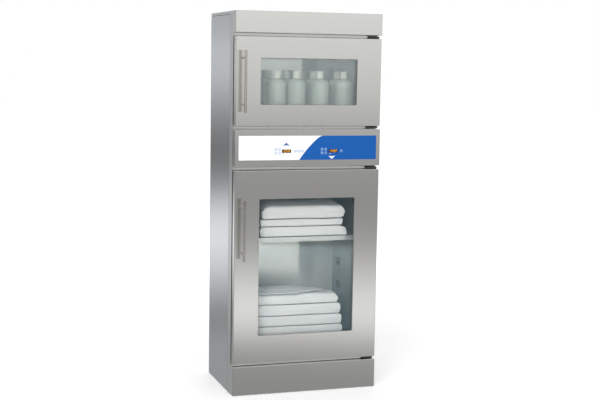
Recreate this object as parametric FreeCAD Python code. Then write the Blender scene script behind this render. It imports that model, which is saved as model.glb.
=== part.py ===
import FreeCAD, Part
import math
import os

os.makedirs("parts", exist_ok=True)

# Two-chamber warming cabinet, in millimetres.
# X runs to the right, Y to the back and Z up; the origin is on the floor,
# at the centre of the whole outline. Depths are counted back from the plane
# of the door fronts.

# Fronts, from the floor up
KICK_CLEARANCE = 2.0
KICK_TOP = 147.0
KICK_GAP = 14.0
LOWER_DOOR_HEIGHT = 960.0
LOWER_GAP = 19.0
CONTROL_HEIGHT = 182.0
UPPER_GAP = 16.0
UPPER_DOOR_HEIGHT = 432.0
HEADER_GAP = 17.0
HEADER_HEIGHT = 105.0

# Outer case
CABINET_WIDTH = 750.0
CASE_DEPTH = 442.0
SHEET = 1.2
BEND_RADIUS = 2.5
RETURN_WIDTH = 12.0
CAP_LIP = 15.0
CAP_SHADOW_GAP = 2.0
FRONT_OVERHANG = 1.5
SIDE_SEAM = 2.0

# Doors
DOOR_EDGE_CLEARANCE = 1.0
DOOR_THICKNESS = 32.0
GASKET_DEPTH = 15.7
GASKET_CLEARANCE = 0.3
GASKET_WIDTH = 16.0
GASKET_INSET = 16.0
GASKET_TIP_WIDTH = 12.0
WINDOW_WIDTH = 497.0
UPPER_WINDOW_HEIGHT = 227.0
LOWER_WINDOW_HEIGHT = 682.0
WINDOW_CORNER = 8.0
WINDOW_RETURN = 5.0
WINDOW_LIP_RADIUS = 0.9
SEAL_THICKNESS = 2.0
SEAL_LIP = 1.5
FRONT_PANE = 5.0
PANE_GAP = 10.0
REAR_PANE = 4.0
PANE_OVERLAP = 22.0
FRONT_SEAL_WIDTH = 13.5
SPACER_WIDTH = 8.0
REAR_OPENING_MARGIN = 10.0

# Handles
HANDLE_LENGTH = 300.0
HANDLE_RADIUS = 6.5
HANDLE_INSET = 36.0
HANDLE_STANDOFF = 50.0
POST_SPACING = 224.0
POST_RADIUS = 5.0
HANDLE_SCREW_RADIUS = 2.5
HANDLE_SCREW_REACH = 12.0
SCREW_HEAD_RADIUS = 4.5
SCREW_HEAD_HEIGHT = 3.0
BACKING_PLATE_SIZE = 30.0
BACKING_PLATE_THICKNESS = 2.0
HANDLE_END_CHAMFER = 0.6
HOLE_CLEARANCE = 0.05
SCREW_TIP_ROOM = 1.0

# Pivot hinges
PIVOT_INSET = 16.0
PIVOT_DEPTH = 17.0
PIN_RADIUS = 5.0
PIN_REACH = 18.0
PIN_CLEARANCE = 0.05
BUSH_RADIUS = 7.5
BUSH_LENGTH = 22.0
BRACKET_LENGTH = 48.0
BRACKET_THICKNESS = 5.0
BRACKET_NOSE_RADIUS = 10.0
BRACKET_FOOT = 3.0
BRACKET_FOOT_MARGIN = 1.0
WASHER_RADIUS = 9.0
WASHER_CLEARANCE = 0.3

# Frame and chambers
FACE_SHEET = 3.0
FRAME_DEPTH = 57.0
FRAME_WALL = 1.5
OPENING_SIDE = 79.0
OPENING_MARGIN = 34.0
CHAMBER_DEPTH = 397.0
DUCT_WIDTH = 35.8
TUBE = 30.0
TUBE_WALL = 2.0
SLAB = 30.0
ROOF_SLAB = 60.0
UPPER_PLENUM = 133.0
LEDGE_HEIGHT = 10.0
LEDGE_DEPTH = 24.0
LEDGE_END_GAP = 2.0
CABLE_PORT_RADIUS = 15.0

# Duct panel punching
SLOT_LENGTH = 69.0
SLOT_HEIGHT = 6.0
SLOT_PITCH = 14.3
SLOTS_IN_GROUP = 3
GROUP_PITCH = 125.4
LOWER_FIRST_GROUP = 28.0
LOWER_GROUPS = 7
UPPER_FIRST_GROUP = 105.0
UPPER_GROUPS = 2
FRONT_SLOT_DEPTH = 79.0
REAR_SLOT_DEPTH = 323.0
PEG_HOLE_RADIUS = 4.0
PEG_RISE = 49.0
PEG_SETBACK = 15.0
DUCT_INLET_LENGTH = 120.0
DUCT_INLET_HEIGHT = 80.0
DUCT_INLET_RISE = 20.0
DUCT_INLETS = 2

# Chamber floors
GRILLE_SLOTS = 14
GRILLE_PITCH = 38.0
GRILLE_SLOT_WIDTH = 8.0
GRILLE_SLOT_LENGTH = 30.0
GRILLE_REAR_MARGIN = 10.0

# Shelf and its clips
GROUPS_BELOW_SHELF = 4
SHELF_LIP = 23.0
SHELF_END_GAP = 2.0
SHELF_FRONT_DEPTH = 75.0
SHELF_REAR_GAP = 5.0
SHELF_SLOT_ROWS = 2
SHELF_SLOT_COLUMNS = 8
SHELF_SLOT_PITCH = 62.0
SHELF_SLOT_LENGTH = 40.0
SHELF_SLOT_WIDTH = 8.0
SHELF_ROW_SPACING = 150.0
CLIP_SEAT_GAP = 0.3
CLIP_LEDGE = 15.0
CLIP_LEDGE_THICKNESS = 3.0
CLIP_WIDTH = 20.0
CLIP_PLATE = 1.2
CLIP_PEG_CLEARANCE = 0.2
CLIP_PEG_TAIL = 6.0
CLIP_TOP_MARGIN = 5.0

# Control fascia, overlay, displays and buttons
OVERLAY_SIDE_MARGIN = 20.0
OVERLAY_HEIGHT = 119.0
OVERLAY_THICKNESS = 0.8
OVERLAY_CORNER = 1.5
KEY_LINE_DROP = 16.0
KEY_ROW_HALF = 9.0
KEY_RADIUS = 7.2
KEY_CLEARANCE = 0.3
KEY_PROUD = 0.6
KEY_FLANGE_RADIUS = 8.5
KEY_FLANGE_THICKNESS = 1.0
KEY_FLANGE_GAP = 0.1
KEY_STEM_RADIUS = 3.0
KEY_STEM_LENGTH = 4.0
KEY_TRAVEL = 0.6
KEY_EDGE_RADIUS = 0.4
LEFT_PAIR_X = (-169.0, -150.0)
MIDDLE_KEYS_X = (-68.0, -50.0, -32.0)
RIGHT_PAIR_X = (70.0, 89.0)
LAST_KEY_X = 171.0
DISPLAY_X = (-113.5, 129.5)
DISPLAY_WIDTH = 47.0
DISPLAY_HEIGHT = 17.0
DISPLAY_CLEARANCE = 0.2
DISPLAY_RECESS = 0.3
DISPLAY_BODY_MARGIN = 3.0
DISPLAY_CORNER = 1.0
BOARD_DEPTH = 12.0
BOARD_THICKNESS = 1.6
BOARD_WIDTH = 400.0
BOARD_HEIGHT = 80.0
BOARD_POST_RADIUS = 3.0
BOARD_POST_MARGIN = 8.0
SWITCH_SIZE = 6.0
SWITCH_GAP = 0.2
RELAY_SIZE = (20.0, 16.0, 15.0)
RELAY_X = (-140.0, -100.0, 100.0, 140.0)

# Power tray in the bay between the chambers
TRAY_WIDTH = 420.0
TRAY_DEPTH = 240.0
TRAY_LIP = 12.0
TRAY_BACK_GAP = 90.0
SUPPLY_SIZE = (160.0, 98.0, 42.0)
SUPPLY_X = -100.0
TERMINAL_SIZE = (90.0, 24.0, 22.0)
TERMINAL_X = 90.0
SOLID_RELAY_SIZE = (58.0, 45.0, 28.0)
SOLID_RELAY_X = (60.0, 130.0)
SOLID_RELAY_SETBACK = 60.0

# Mains inlet and rocker switch, in the back panel
INLET_EDGE_INSET = 125.0
INLET_RISE = 44.0
INLET_FLANGE_SIZE = (66.0, 30.0)
INLET_FLANGE_THICKNESS = 2.0
INLET_BODY_SIZE = (60.0, 25.0)
INLET_BODY_DEPTH = 24.0
SOCKET_SIZE = (24.6, 16.6)
SOCKET_DEPTH = 17.0
SOCKET_OFFSET = -14.0
SOCKET_CORNER = 2.0
BLADE_SIZE = (2.0, 5.0, 14.0)
BLADE_SPACING = 7.0
BLADE_RISE = 2.0
ROCKER_OFFSET = 17.0
ROCKER_WIDTH = 12.4
ROCKER_SIDE_GAP = 0.3
ROCKER_POCKET_HEIGHT = 20.0
ROCKER_POCKET_DEPTH = 14.0
ROCKER_PIVOT_INSET = 1.5
ROCKER_PIN_RADIUS = 1.2
ROCKER_PIN_REACH = 1.5
ROCKER_PROFILE = ((-5.0, -5.0), (-5.0, 5.0), (3.4, 8.6), (1.2, 0.0), (0.9, -9.0))

# Back panel
LOUVRE_COUNT = 8
LOUVRE_PITCH = 9.0
LOUVRE_LENGTH = 90.0
LOUVRE_HEIGHT = 4.0
LOUVRE_X = (0.0, 120.0, 240.0)
LOUVRE_RISE = 14.0
SCREW_ROWS = 9
SCREW_EDGE_INSET = 7.0
SCREW_END_INSET = 60.0
SCREW_BOTTOM_X = (-220.0, 0.0, 220.0)
PANEL_SCREW_RADIUS = 2.0
PANEL_SCREW_REACH = 4.4
PANEL_SCREW_HEAD_RADIUS = 4.5
PANEL_SCREW_HEAD = 2.5

# Heaters and fans, one set under each chamber floor
HEATER_RADIUS = 4.2
HEATER_HALF_WIDTH = 230.0
HEATER_FRONT_DEPTH = 135.0
HEATER_REAR_GAP = 30.0
HEATER_TERMINAL_HALF = 40.0
HEATER_BEND = 26.0
HEATER_BEND_SHARE = 0.45
HEATER_RISE = 55.0
HEATER_FLANGE_SIZE = (120.0, 30.0)
HEATER_FLANGE_THICKNESS = 3.0
HEATER_STAND_X = (-150.0, 150.0)
HEATER_STAND_SIZE = (12.0, 6.0)
FAN_DEPTH = 265.0
MOTOR_PLATE = 130.0
MOTOR_PLATE_THICKNESS = 2.0
MOTOR_RADIUS = 38.0
MOTOR_HEIGHT = 46.0
MOTOR_NOSE_RADIUS = 12.0
MOTOR_NOSE = 3.0
SHAFT_RADIUS = 4.0
SHAFT_LENGTH = 42.0
WHEEL_RADIUS = 75.0
WHEEL_HEIGHT = 40.0
WHEEL_PLATE = 2.0
WHEEL_HUB_RADIUS = 12.0
WHEEL_INLET_RADIUS = 55.0
WHEEL_BLADES = 12
WHEEL_BLADE = 1.6
WHEEL_GAP = 0.3

# Temperature probes
PROBE_X = 200.0
PROBE_DROP = 20.0
PROBE_RADIUS = 2.5
PROBE_LENGTH = 42.0
PROBE_NUT_RADIUS = 8.0
PROBE_NUT = 4.0

# Load: bottles in the upper chamber, folded blankets in the lower one. A bottle's place is its
# distance from the chamber's right wall and its depth; a blanket has its left end, right end and height.
BOTTLE_RADIUS = 46.5
BOTTLE_HEIGHT = 233.0
BOTTLE_FOOT_RADIUS = 6.0
BOTTLE_WALL_HEIGHT = 168.0
BOTTLE_SHOULDER = 27.0
NECK_RADIUS = 15.0
NECK_HEIGHT = 17.0
CAP_RADIUS = 18.5
CAP_HEIGHT = 36.0
CAP_WALL_GAP = 0.3
CAP_BEAD = 1.5
CAP_CORNER = 2.0
BOTTLE_FRONT_ROW = ((419.0, 152.0), (317.0, 150.0), (193.0, 151.0), (65.0, 150.0))
BOTTLE_REAR_ROW = ((434.0, 254.0), (336.0, 256.0), (193.0, 252.0), (64.0, 251.0))
SHELF_BLANKETS = ((-220.0, 244.0, 53.0), (-214.0, 231.0, 37.0), (-212.0, 238.0, 72.0))
FLOOR_BLANKETS = ((-241.0, 226.0, 42.0), (-237.0, 230.0, 43.0), (-240.0, 224.0, 43.0),
                  (-243.0, 218.0, 54.0), (-246.0, 213.0, 57.0), (-248.0, 203.0, 100.0))
BLANKET_FRONT_DEPTH = 84.0
BLANKET_LENGTH = 335.0
BLANKET_ROUND = 0.42
BLANKET_ROUND_LIMIT = 26.0
BLANKET_GAP = 0.3

# Lengths that differ by less than this are the same
SAME = 1e-6

# Levels worked out from the fronts
LOWER_DOOR_BOTTOM = KICK_TOP + KICK_GAP
LOWER_DOOR_TOP = LOWER_DOOR_BOTTOM + LOWER_DOOR_HEIGHT
CONTROL_BOTTOM = LOWER_DOOR_TOP + LOWER_GAP
CONTROL_TOP = CONTROL_BOTTOM + CONTROL_HEIGHT
UPPER_DOOR_BOTTOM = CONTROL_TOP + UPPER_GAP
UPPER_DOOR_TOP = UPPER_DOOR_BOTTOM + UPPER_DOOR_HEIGHT
HEADER_BOTTOM = UPPER_DOOR_TOP + HEADER_GAP
TOTAL_HEIGHT = HEADER_BOTTOM + HEADER_HEIGHT
LOWER_FLOOR = LOWER_DOOR_BOTTOM + OPENING_MARGIN
LOWER_CEILING = LOWER_DOOR_TOP - OPENING_MARGIN
UPPER_FLOOR = UPPER_DOOR_BOTTOM + OPENING_MARGIN
UPPER_CEILING = UPPER_DOOR_TOP - OPENING_MARGIN
LOWER_LINER_BOTTOM = TUBE + SLAB
BAY_BOTTOM = LOWER_CEILING + SHEET + SLAB
UPPER_LINER_BOTTOM = UPPER_FLOOR - UPPER_PLENUM - SHEET
DECK_TOP = UPPER_LINER_BOTTOM - SLAB
DECK_BOTTOM = DECK_TOP - SHEET
CAP_BOTTOM = TOTAL_HEIGHT - CAP_LIP
CASE_TOP = CAP_BOTTOM - CAP_SHADOW_GAP
CONTROL_MIDDLE = (CONTROL_BOTTOM + CONTROL_TOP) / 2
KEY_LINE = CONTROL_MIDDLE - KEY_LINE_DROP

# Depths and half widths worked out from the case
BODY_FRONT = DOOR_THICKNESS + GASKET_DEPTH + GASKET_CLEARANCE
BODY_BACK = BODY_FRONT + CASE_DEPTH
BACK_PANEL_FRONT = BODY_BACK - SHEET
SIDE_BACK = BACK_PANEL_FRONT
POST_BACK = SIDE_BACK - SHEET
POST_FRONT = POST_BACK - TUBE
FACE_BACK = BODY_FRONT + FACE_SHEET
FRAME_BACK = BODY_FRONT + FRAME_DEPTH
SIDE_FRONT = FRAME_BACK + SIDE_SEAM
CHAMBER_BACK = BODY_FRONT + CHAMBER_DEPTH
LINER_BACK = CHAMBER_BACK + SHEET
HALF = CABINET_WIDTH / 2
CASE_INSIDE = HALF - SHEET
POST_INSIDE = CASE_INSIDE - TUBE
OPENING_HALF = HALF - OPENING_SIDE
DUCT_OUTSIDE = OPENING_HALF + SHEET
LINER_INSIDE = DUCT_OUTSIDE + DUCT_WIDTH
LINER_OUTSIDE = LINER_INSIDE + SHEET
DOOR_HALF = HALF - DOOR_EDGE_CLEARANCE
PIVOT_X = DOOR_HALF - PIVOT_INSET
HANDLE_X = HANDLE_INSET - DOOR_HALF
OVERLAY_HALF = HALF + FRONT_OVERHANG - OVERLAY_SIDE_MARGIN
INLET_X = INLET_EDGE_INSET - HALF
HANDLE_PROJECTION = HANDLE_STANDOFF + HANDLE_RADIUS
TOTAL_DEPTH = HANDLE_PROJECTION + BODY_BACK + PANEL_SCREW_HEAD
FRONT_Y = HANDLE_PROJECTION - TOTAL_DEPTH / 2
LOWER_GROUP_HEIGHTS = [LOWER_FLOOR + LOWER_FIRST_GROUP + GROUP_PITCH * n for n in range(LOWER_GROUPS)]
UPPER_GROUP_HEIGHTS = [UPPER_FLOOR + UPPER_FIRST_GROUP + GROUP_PITCH * n for n in range(UPPER_GROUPS)]
SHELF_PEG_LEVEL = LOWER_GROUP_HEIGHTS[GROUPS_BELOW_SHELF] + PEG_RISE
SHELF_TOP = SHELF_PEG_LEVEL + CLIP_TOP_MARGIN
UPPER_KEYS = (
    [(x, KEY_LINE + side * KEY_ROW_HALF) for side in (1, -1) for x in LEFT_PAIR_X]
    + [(x, KEY_LINE) for x in MIDDLE_KEYS_X]
)
LOWER_KEYS = (
    [(x, KEY_LINE + side * KEY_ROW_HALF) for side in (1, -1) for x in RIGHT_PAIR_X]
    + [(LAST_KEY_X, KEY_LINE)]
)
KEY_SPOTS = UPPER_KEYS + LOWER_KEYS


# Building blocks

def point(x, depth, z):
    return FreeCAD.Vector(x, FRONT_Y + depth, z)


def block(x0, x1, d0, d1, z0, z1):
    return Part.makeBox(x1 - x0, d1 - d0, z1 - z0, point(x0, d0, z0))


def tube_block(x0, x1, d0, d1, z0, z1, wall, along):
    """A rectangular tube, open at both ends along one axis."""
    outer = block(x0, x1, d0, d1, z0, z1)
    inset = {"x": (0, wall, wall), "y": (wall, 0, wall), "z": (wall, wall, 0)}[along]
    inner = block(x0 + inset[0], x1 - inset[0], d0 + inset[1], d1 - inset[1], z0 + inset[2], z1 - inset[2])
    return outer.cut(inner)


def rod(x, z, radius, d0, d1):
    """A round bar along the depth."""
    return Part.makeCylinder(radius, d1 - d0, point(x, d0, z), FreeCAD.Vector(0, 1, 0))


def post(x, depth, radius, z0, z1):
    """A round bar along the height."""
    return Part.makeCylinder(radius, z1 - z0, point(x, depth, z0))


def cross_rod(x0, x1, depth, z, radius):
    """A round bar along the width."""
    return Part.makeCylinder(radius, x1 - x0, point(x0, depth, z), FreeCAD.Vector(1, 0, 0))


def edges_where(shape, test):
    chosen = []
    for edge in shape.Edges:
        if test(edge):
            chosen.append(edge)
    return chosen


def along_axis(edge, axis):
    """True for a straight edge parallel to the axis, 0 for X, 1 for Y and 2 for Z."""
    box = edge.BoundBox
    spans = [box.XLength, box.YLength, box.ZLength]
    return all(span < SAME for n, span in enumerate(spans) if n != axis)


def rounded_prism(x0, x1, z0, z1, radius, d0, d1):
    """A rectangle with round corners, drawn on the front plane and run through the depth."""
    solid = block(x0, x1, d0, d1, z0, z1)
    return solid.makeFillet(radius, edges_where(solid, lambda edge: along_axis(edge, 1)))


def slot_through_side(depth, z, length, height, x0, x1):
    """A round-ended slot cut through a side wall."""
    radius = height / 2
    body = block(x0, x1, depth + radius, depth + length - radius, z - radius, z + radius)
    front = cross_rod(x0, x1, depth + radius, z, radius)
    rear = cross_rod(x0, x1, depth + length - radius, z, radius)
    return body.fuse([front, rear])


def slot_through_floor(x, d0, d1, width, z0, z1):
    """A round-ended slot, running back, cut through a floor."""
    radius = width / 2
    body = block(x - radius, x + radius, d0 + radius, d1 - radius, z0, z1)
    front = post(x, d0 + radius, radius, z0, z1)
    rear = post(x, d1 - radius, radius, z0, z1)
    return body.fuse([front, rear])


def folded_front(half_width, z0, z1, depth):
    """A shallow sheet box with a plain front, four sides and a return all round its open back."""
    outer = block(-half_width, half_width, 0, depth, z0, z1)
    front_y = FRONT_Y
    picked = edges_where(
        outer,
        lambda edge: along_axis(edge, 1) or edge.BoundBox.YMax < front_y + SAME,
    )
    outer = outer.makeFillet(BEND_RADIUS, picked)
    cavity = block(-half_width + SHEET, half_width - SHEET, SHEET, depth - SHEET, z0 + SHEET, z1 - SHEET)
    rim = SHEET + RETURN_WIDTH
    mouth = block(-half_width + rim, half_width - rim, depth - SHEET, depth, z0 + rim, z1 - rim)
    return outer.cut([cavity, mouth])


def save(name, solids):
    """Write one sub-part, made of one or more separate solids."""
    shape = solids[0] if len(solids) == 1 else Part.makeCompound(solids)
    shape.exportStep("parts/" + name + ".step")
    print(name, len(shape.Solids), round(shape.Volume / 1000.0, 1))


# Frame and base

def base_frame():
    """Four tubes that carry the cabinet on the floor."""
    solids = []
    for side in (-1, 1):
        x0, x1 = sorted((side * POST_INSIDE, side * CASE_INSIDE))
        solids.append(tube_block(x0, x1, SIDE_FRONT + SHEET, POST_BACK, 0, TUBE, TUBE_WALL, "y"))
    front = tube_block(-POST_INSIDE, POST_INSIDE, FRAME_BACK, FRAME_BACK + TUBE, 0, TUBE, TUBE_WALL, "x")
    rear = tube_block(-POST_INSIDE, POST_INSIDE, POST_FRONT, POST_BACK, 0, TUBE, TUBE_WALL, "x")
    solids.append(front)
    solids.append(rear)
    return [solid.cut(screw_holes()) for solid in solids]


def gap_middles():
    return [
        (KICK_TOP + LOWER_DOOR_BOTTOM) / 2,
        (LOWER_DOOR_TOP + CONTROL_BOTTOM) / 2,
        (CONTROL_TOP + UPPER_DOOR_BOTTOM) / 2,
        (UPPER_DOOR_TOP + HEADER_BOTTOM) / 2,
    ]


def cabinet_frame():
    """Face strips, front tubes, rear posts, the deck under the upper chamber and the gap ledges."""
    solids = []
    rails = ((0, LOWER_FLOOR), (LOWER_CEILING, UPPER_FLOOR), (UPPER_CEILING, CAP_BOTTOM))
    for side in (-1, 1):
        x0, x1 = sorted((side * OPENING_HALF, side * HALF))
        solids.append(block(x0, x1, BODY_FRONT, FACE_BACK, 0, CAP_BOTTOM))
        x0, x1 = sorted((side * LINER_OUTSIDE, side * HALF))
        solids.append(tube_block(x0, x1, FACE_BACK, FRAME_BACK, 0, CAP_BOTTOM, FRAME_WALL, "z"))
        x0, x1 = sorted((side * POST_INSIDE, side * CASE_INSIDE))
        rear = tube_block(x0, x1, POST_FRONT, POST_BACK, TUBE, CAP_BOTTOM, TUBE_WALL, "z")
        solids.append(rear.cut(screw_holes()))
    port = rod(0, CONTROL_MIDDLE, CABLE_PORT_RADIUS, BODY_FRONT, FRAME_BACK)
    for z0, z1 in rails:
        strip = block(-OPENING_HALF, OPENING_HALF, BODY_FRONT, FACE_BACK, z0, z1)
        tube = tube_block(-LINER_OUTSIDE, LINER_OUTSIDE, FACE_BACK, FRAME_BACK, z0, z1, FRAME_WALL, "x")
        solids.append(strip.cut(port))
        solids.append(tube.cut(port))
    for middle in gap_middles():
        low = middle - LEDGE_HEIGHT / 2
        high = middle + LEDGE_HEIGHT / 2
        right_end = PIVOT_X - BRACKET_LENGTH - LEDGE_END_GAP
        solids.append(block(-HALF, right_end, BODY_FRONT - LEDGE_DEPTH, BODY_FRONT, low, high))
    solids.append(block(-LINER_OUTSIDE, LINER_OUTSIDE, FRAME_BACK, BACK_PANEL_FRONT, DECK_BOTTOM, DECK_TOP))
    return solids


# Outer case

def side_panels():
    """Two sheets, each with a return behind the front frame and one under the back panel."""
    solids = []
    for side in (-1, 1):
        x0, x1 = sorted((side * (CASE_INSIDE - RETURN_WIDTH), side * HALF))
        outer = block(x0, x1, SIDE_FRONT, SIDE_BACK, KICK_CLEARANCE, CASE_TOP)
        bends = edges_where(
            outer,
            lambda edge: along_axis(edge, 2) and abs(abs(edge.CenterOfMass.x) - HALF) < SAME,
        )
        outer = outer.makeFillet(BEND_RADIUS, bends)
        x0, x1 = sorted((side * (CASE_INSIDE - RETURN_WIDTH), side * CASE_INSIDE))
        hollow = block(x0, x1, SIDE_FRONT + SHEET, SIDE_BACK - SHEET, KICK_CLEARANCE, CASE_TOP)
        solids.append(outer.cut(hollow).cut(screw_holes()))
    return solids


def top_panel():
    """A tray turned over, with a lip round its edge and a return under it."""
    outer = block(-HALF, HALF, BODY_FRONT, BODY_BACK, CAP_BOTTOM, TOTAL_HEIGHT)
    back_y = FRONT_Y + BODY_BACK
    bends = []
    for edge in edges_where(outer, lambda edge: edge.BoundBox.YMax > back_y - SAME):
        upper = edge.BoundBox.ZMin > TOTAL_HEIGHT - SAME
        if upper or along_axis(edge, 2):
            bends.append(edge)
    outer = outer.makeFillet(BEND_RADIUS, bends)
    hollow = block(-CASE_INSIDE, CASE_INSIDE, BODY_FRONT + SHEET, BODY_BACK - SHEET,
                   CAP_BOTTOM + SHEET, TOTAL_HEIGHT - SHEET)
    rim = SHEET + RETURN_WIDTH
    mouth = block(-HALF + rim, HALF - rim, BODY_FRONT + rim, BODY_BACK - rim,
                  CAP_BOTTOM, CAP_BOTTOM + SHEET)
    return [outer.cut([hollow, mouth])]


def screw_spots():
    spots = []
    bottom = TUBE + SCREW_END_INSET
    pitch = (CASE_TOP - SCREW_END_INSET - bottom) / (SCREW_ROWS - 1)
    for side in (-1, 1):
        for row in range(SCREW_ROWS):
            spots.append((side * (CASE_INSIDE - SCREW_EDGE_INSET), bottom + pitch * row))
    for x in SCREW_BOTTOM_X:
        spots.append((x, TUBE / 2))
    return spots


def screw_holes():
    radius = PANEL_SCREW_RADIUS + HOLE_CLEARANCE
    tip = BODY_BACK - PANEL_SCREW_REACH - SCREW_TIP_ROOM
    return [rod(x, z, radius, tip, BODY_BACK) for x, z in screw_spots()]


def panel_screws():
    solids = []
    for x, z in screw_spots():
        shank = rod(x, z, PANEL_SCREW_RADIUS, BODY_BACK - PANEL_SCREW_REACH, BODY_BACK)
        head = rod(x, z, PANEL_SCREW_HEAD_RADIUS, BODY_BACK, BODY_BACK + PANEL_SCREW_HEAD)
        back_y = FRONT_Y + BODY_BACK + PANEL_SCREW_HEAD
        rim = edges_where(head, lambda edge: edge.BoundBox.YMin > back_y - SAME)
        solids.append(head.makeFillet(PANEL_SCREW_HEAD / 2, rim).fuse(shank))
    return solids


def inlet_height():
    return BAY_BOTTOM + INLET_RISE


def back_panel():
    """The removable rear sheet, with louvres beside the bay and a cut-out for the inlet."""
    sheet = block(-HALF, HALF, BACK_PANEL_FRONT, BODY_BACK, KICK_CLEARANCE, CASE_TOP)
    cuts = screw_holes()
    for x in LOUVRE_X:
        x0 = x - LOUVRE_LENGTH / 2
        x1 = x + LOUVRE_LENGTH / 2
        for n in range(LOUVRE_COUNT):
            z = BAY_BOTTOM + LOUVRE_RISE + LOUVRE_PITCH * n
            radius = LOUVRE_HEIGHT / 2
            slit = block(x0, x1, BACK_PANEL_FRONT, BODY_BACK, z - radius, z + radius)
            ends = [rod(end, z, radius, BACK_PANEL_FRONT, BODY_BACK) for end in (x0, x1)]
            cuts.append(slit.fuse(ends))
    width, height = INLET_BODY_SIZE
    z = inlet_height()
    cuts.append(block(INLET_X - width / 2, INLET_X + width / 2, BACK_PANEL_FRONT, BODY_BACK,
                      z - height / 2, z + height / 2))
    return [sheet.cut(cuts)]


# Control fascia

def key_holes(radius, d0, d1):
    return [rod(x, z, radius, d0, d1) for x, z in KEY_SPOTS]


def display_windows(d0, d1, margin):
    windows = []
    for x in DISPLAY_X:
        half = DISPLAY_WIDTH / 2 + margin
        rise = DISPLAY_HEIGHT / 2 + margin
        windows.append(rounded_prism(x - half, x + half, KEY_LINE - rise, KEY_LINE + rise,
                                     DISPLAY_CORNER, d0, d1))
    return windows


def control_fascia():
    box = folded_front(HALF + FRONT_OVERHANG, CONTROL_BOTTOM, CONTROL_TOP, BODY_FRONT)
    return [box.cut(key_holes(KEY_RADIUS + KEY_CLEARANCE, 0, SHEET) + display_windows(0, SHEET, 0))]


def control_overlay():
    """The printed film on the fascia, cut out for the keys and the displays."""
    film = rounded_prism(-OVERLAY_HALF, OVERLAY_HALF, CONTROL_MIDDLE - OVERLAY_HEIGHT / 2,
                         CONTROL_MIDDLE + OVERLAY_HEIGHT / 2, OVERLAY_CORNER, -OVERLAY_THICKNESS, 0)
    holes = key_holes(KEY_RADIUS + KEY_CLEARANCE, -OVERLAY_THICKNESS, 0)
    return [film.cut(holes + display_windows(-OVERLAY_THICKNESS, 0, 0))]


def display_modules():
    """Each module's lens fills its window and its body stands on the board."""
    lenses = display_windows(DISPLAY_RECESS - OVERLAY_THICKNESS, SHEET, -DISPLAY_CLEARANCE)
    bodies = display_windows(SHEET, BOARD_DEPTH, DISPLAY_BODY_MARGIN)
    return [lens.fuse(body) for lens, body in zip(lenses, bodies)]


def control_key(x, z):
    """A round key with a flange that holds it behind the fascia and a stem over its switch."""
    front = -OVERLAY_THICKNESS - KEY_PROUD
    flange_front = SHEET + KEY_FLANGE_GAP
    flange_back = flange_front + KEY_FLANGE_THICKNESS
    cap = rod(x, z, KEY_RADIUS, front, flange_front)
    front_y = FRONT_Y + front
    rim = edges_where(cap, lambda edge: edge.BoundBox.YMax < front_y + SAME)
    cap = cap.makeFillet(KEY_EDGE_RADIUS, rim)
    flange = rod(x, z, KEY_FLANGE_RADIUS, flange_front, flange_back)
    stem = rod(x, z, KEY_STEM_RADIUS, flange_back, flange_back + KEY_STEM_LENGTH)
    return [cap.fuse([flange, stem])]


def control_board():
    """The board behind the fascia, on four posts, with a switch behind each key."""
    low = KEY_LINE - BOARD_HEIGHT / 2
    high = KEY_LINE + BOARD_HEIGHT / 2
    back = BOARD_DEPTH + BOARD_THICKNESS
    solids = [block(-BOARD_WIDTH / 2, BOARD_WIDTH / 2, BOARD_DEPTH, back, low, high)]
    switch_front = SHEET + KEY_FLANGE_GAP + KEY_FLANGE_THICKNESS + KEY_STEM_LENGTH + KEY_TRAVEL + SWITCH_GAP
    half = SWITCH_SIZE / 2
    for x, z in KEY_SPOTS:
        solids.append(block(x - half, x + half, switch_front, BOARD_DEPTH, z - half, z + half))
    for x in (-BOARD_WIDTH / 2 + BOARD_POST_MARGIN, BOARD_WIDTH / 2 - BOARD_POST_MARGIN):
        for z in (low + BOARD_POST_MARGIN, high - BOARD_POST_MARGIN):
            solids.append(rod(x, z, BOARD_POST_RADIUS, SHEET, BOARD_DEPTH))
    width, height, depth = RELAY_SIZE
    for x in RELAY_X:
        solids.append(block(x - width / 2, x + width / 2, back, back + depth, KEY_LINE - height / 2,
                            KEY_LINE + height / 2))
    return solids


# Power tray, inlet and rocker

def power_supply():
    """A lipped tray in the bay with the supply, a terminal block and two solid state relays."""
    z0 = BAY_BOTTOM
    d1 = BODY_BACK - TRAY_BACK_GAP
    d0 = d1 - TRAY_DEPTH
    half = TRAY_WIDTH / 2
    tray = block(-half, half, d0, d1, z0, z0 + TRAY_LIP)
    hollow = block(-half + SHEET, half - SHEET, d0 + SHEET, d1 - SHEET, z0 + SHEET, z0 + TRAY_LIP)
    solids = [tray.cut(hollow)]
    seat = z0 + SHEET
    middle = (d0 + d1) / 2
    width, depth, height = SUPPLY_SIZE
    solids.append(block(SUPPLY_X - width / 2, SUPPLY_X + width / 2, middle - depth / 2, middle + depth / 2,
                        seat, seat + height))
    width, depth, height = TERMINAL_SIZE
    solids.append(block(TERMINAL_X - width / 2, TERMINAL_X + width / 2, middle - depth / 2,
                        middle + depth / 2, seat, seat + height))
    width, depth, height = SOLID_RELAY_SIZE
    rear = middle + SOLID_RELAY_SETBACK
    for x in SOLID_RELAY_X:
        solids.append(block(x - width / 2, x + width / 2, rear - depth / 2, rear + depth / 2,
                            seat, seat + height))
    return solids


def rocker_pivot():
    return (INLET_X + ROCKER_OFFSET, BODY_BACK - ROCKER_PIVOT_INSET, inlet_height())


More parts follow.
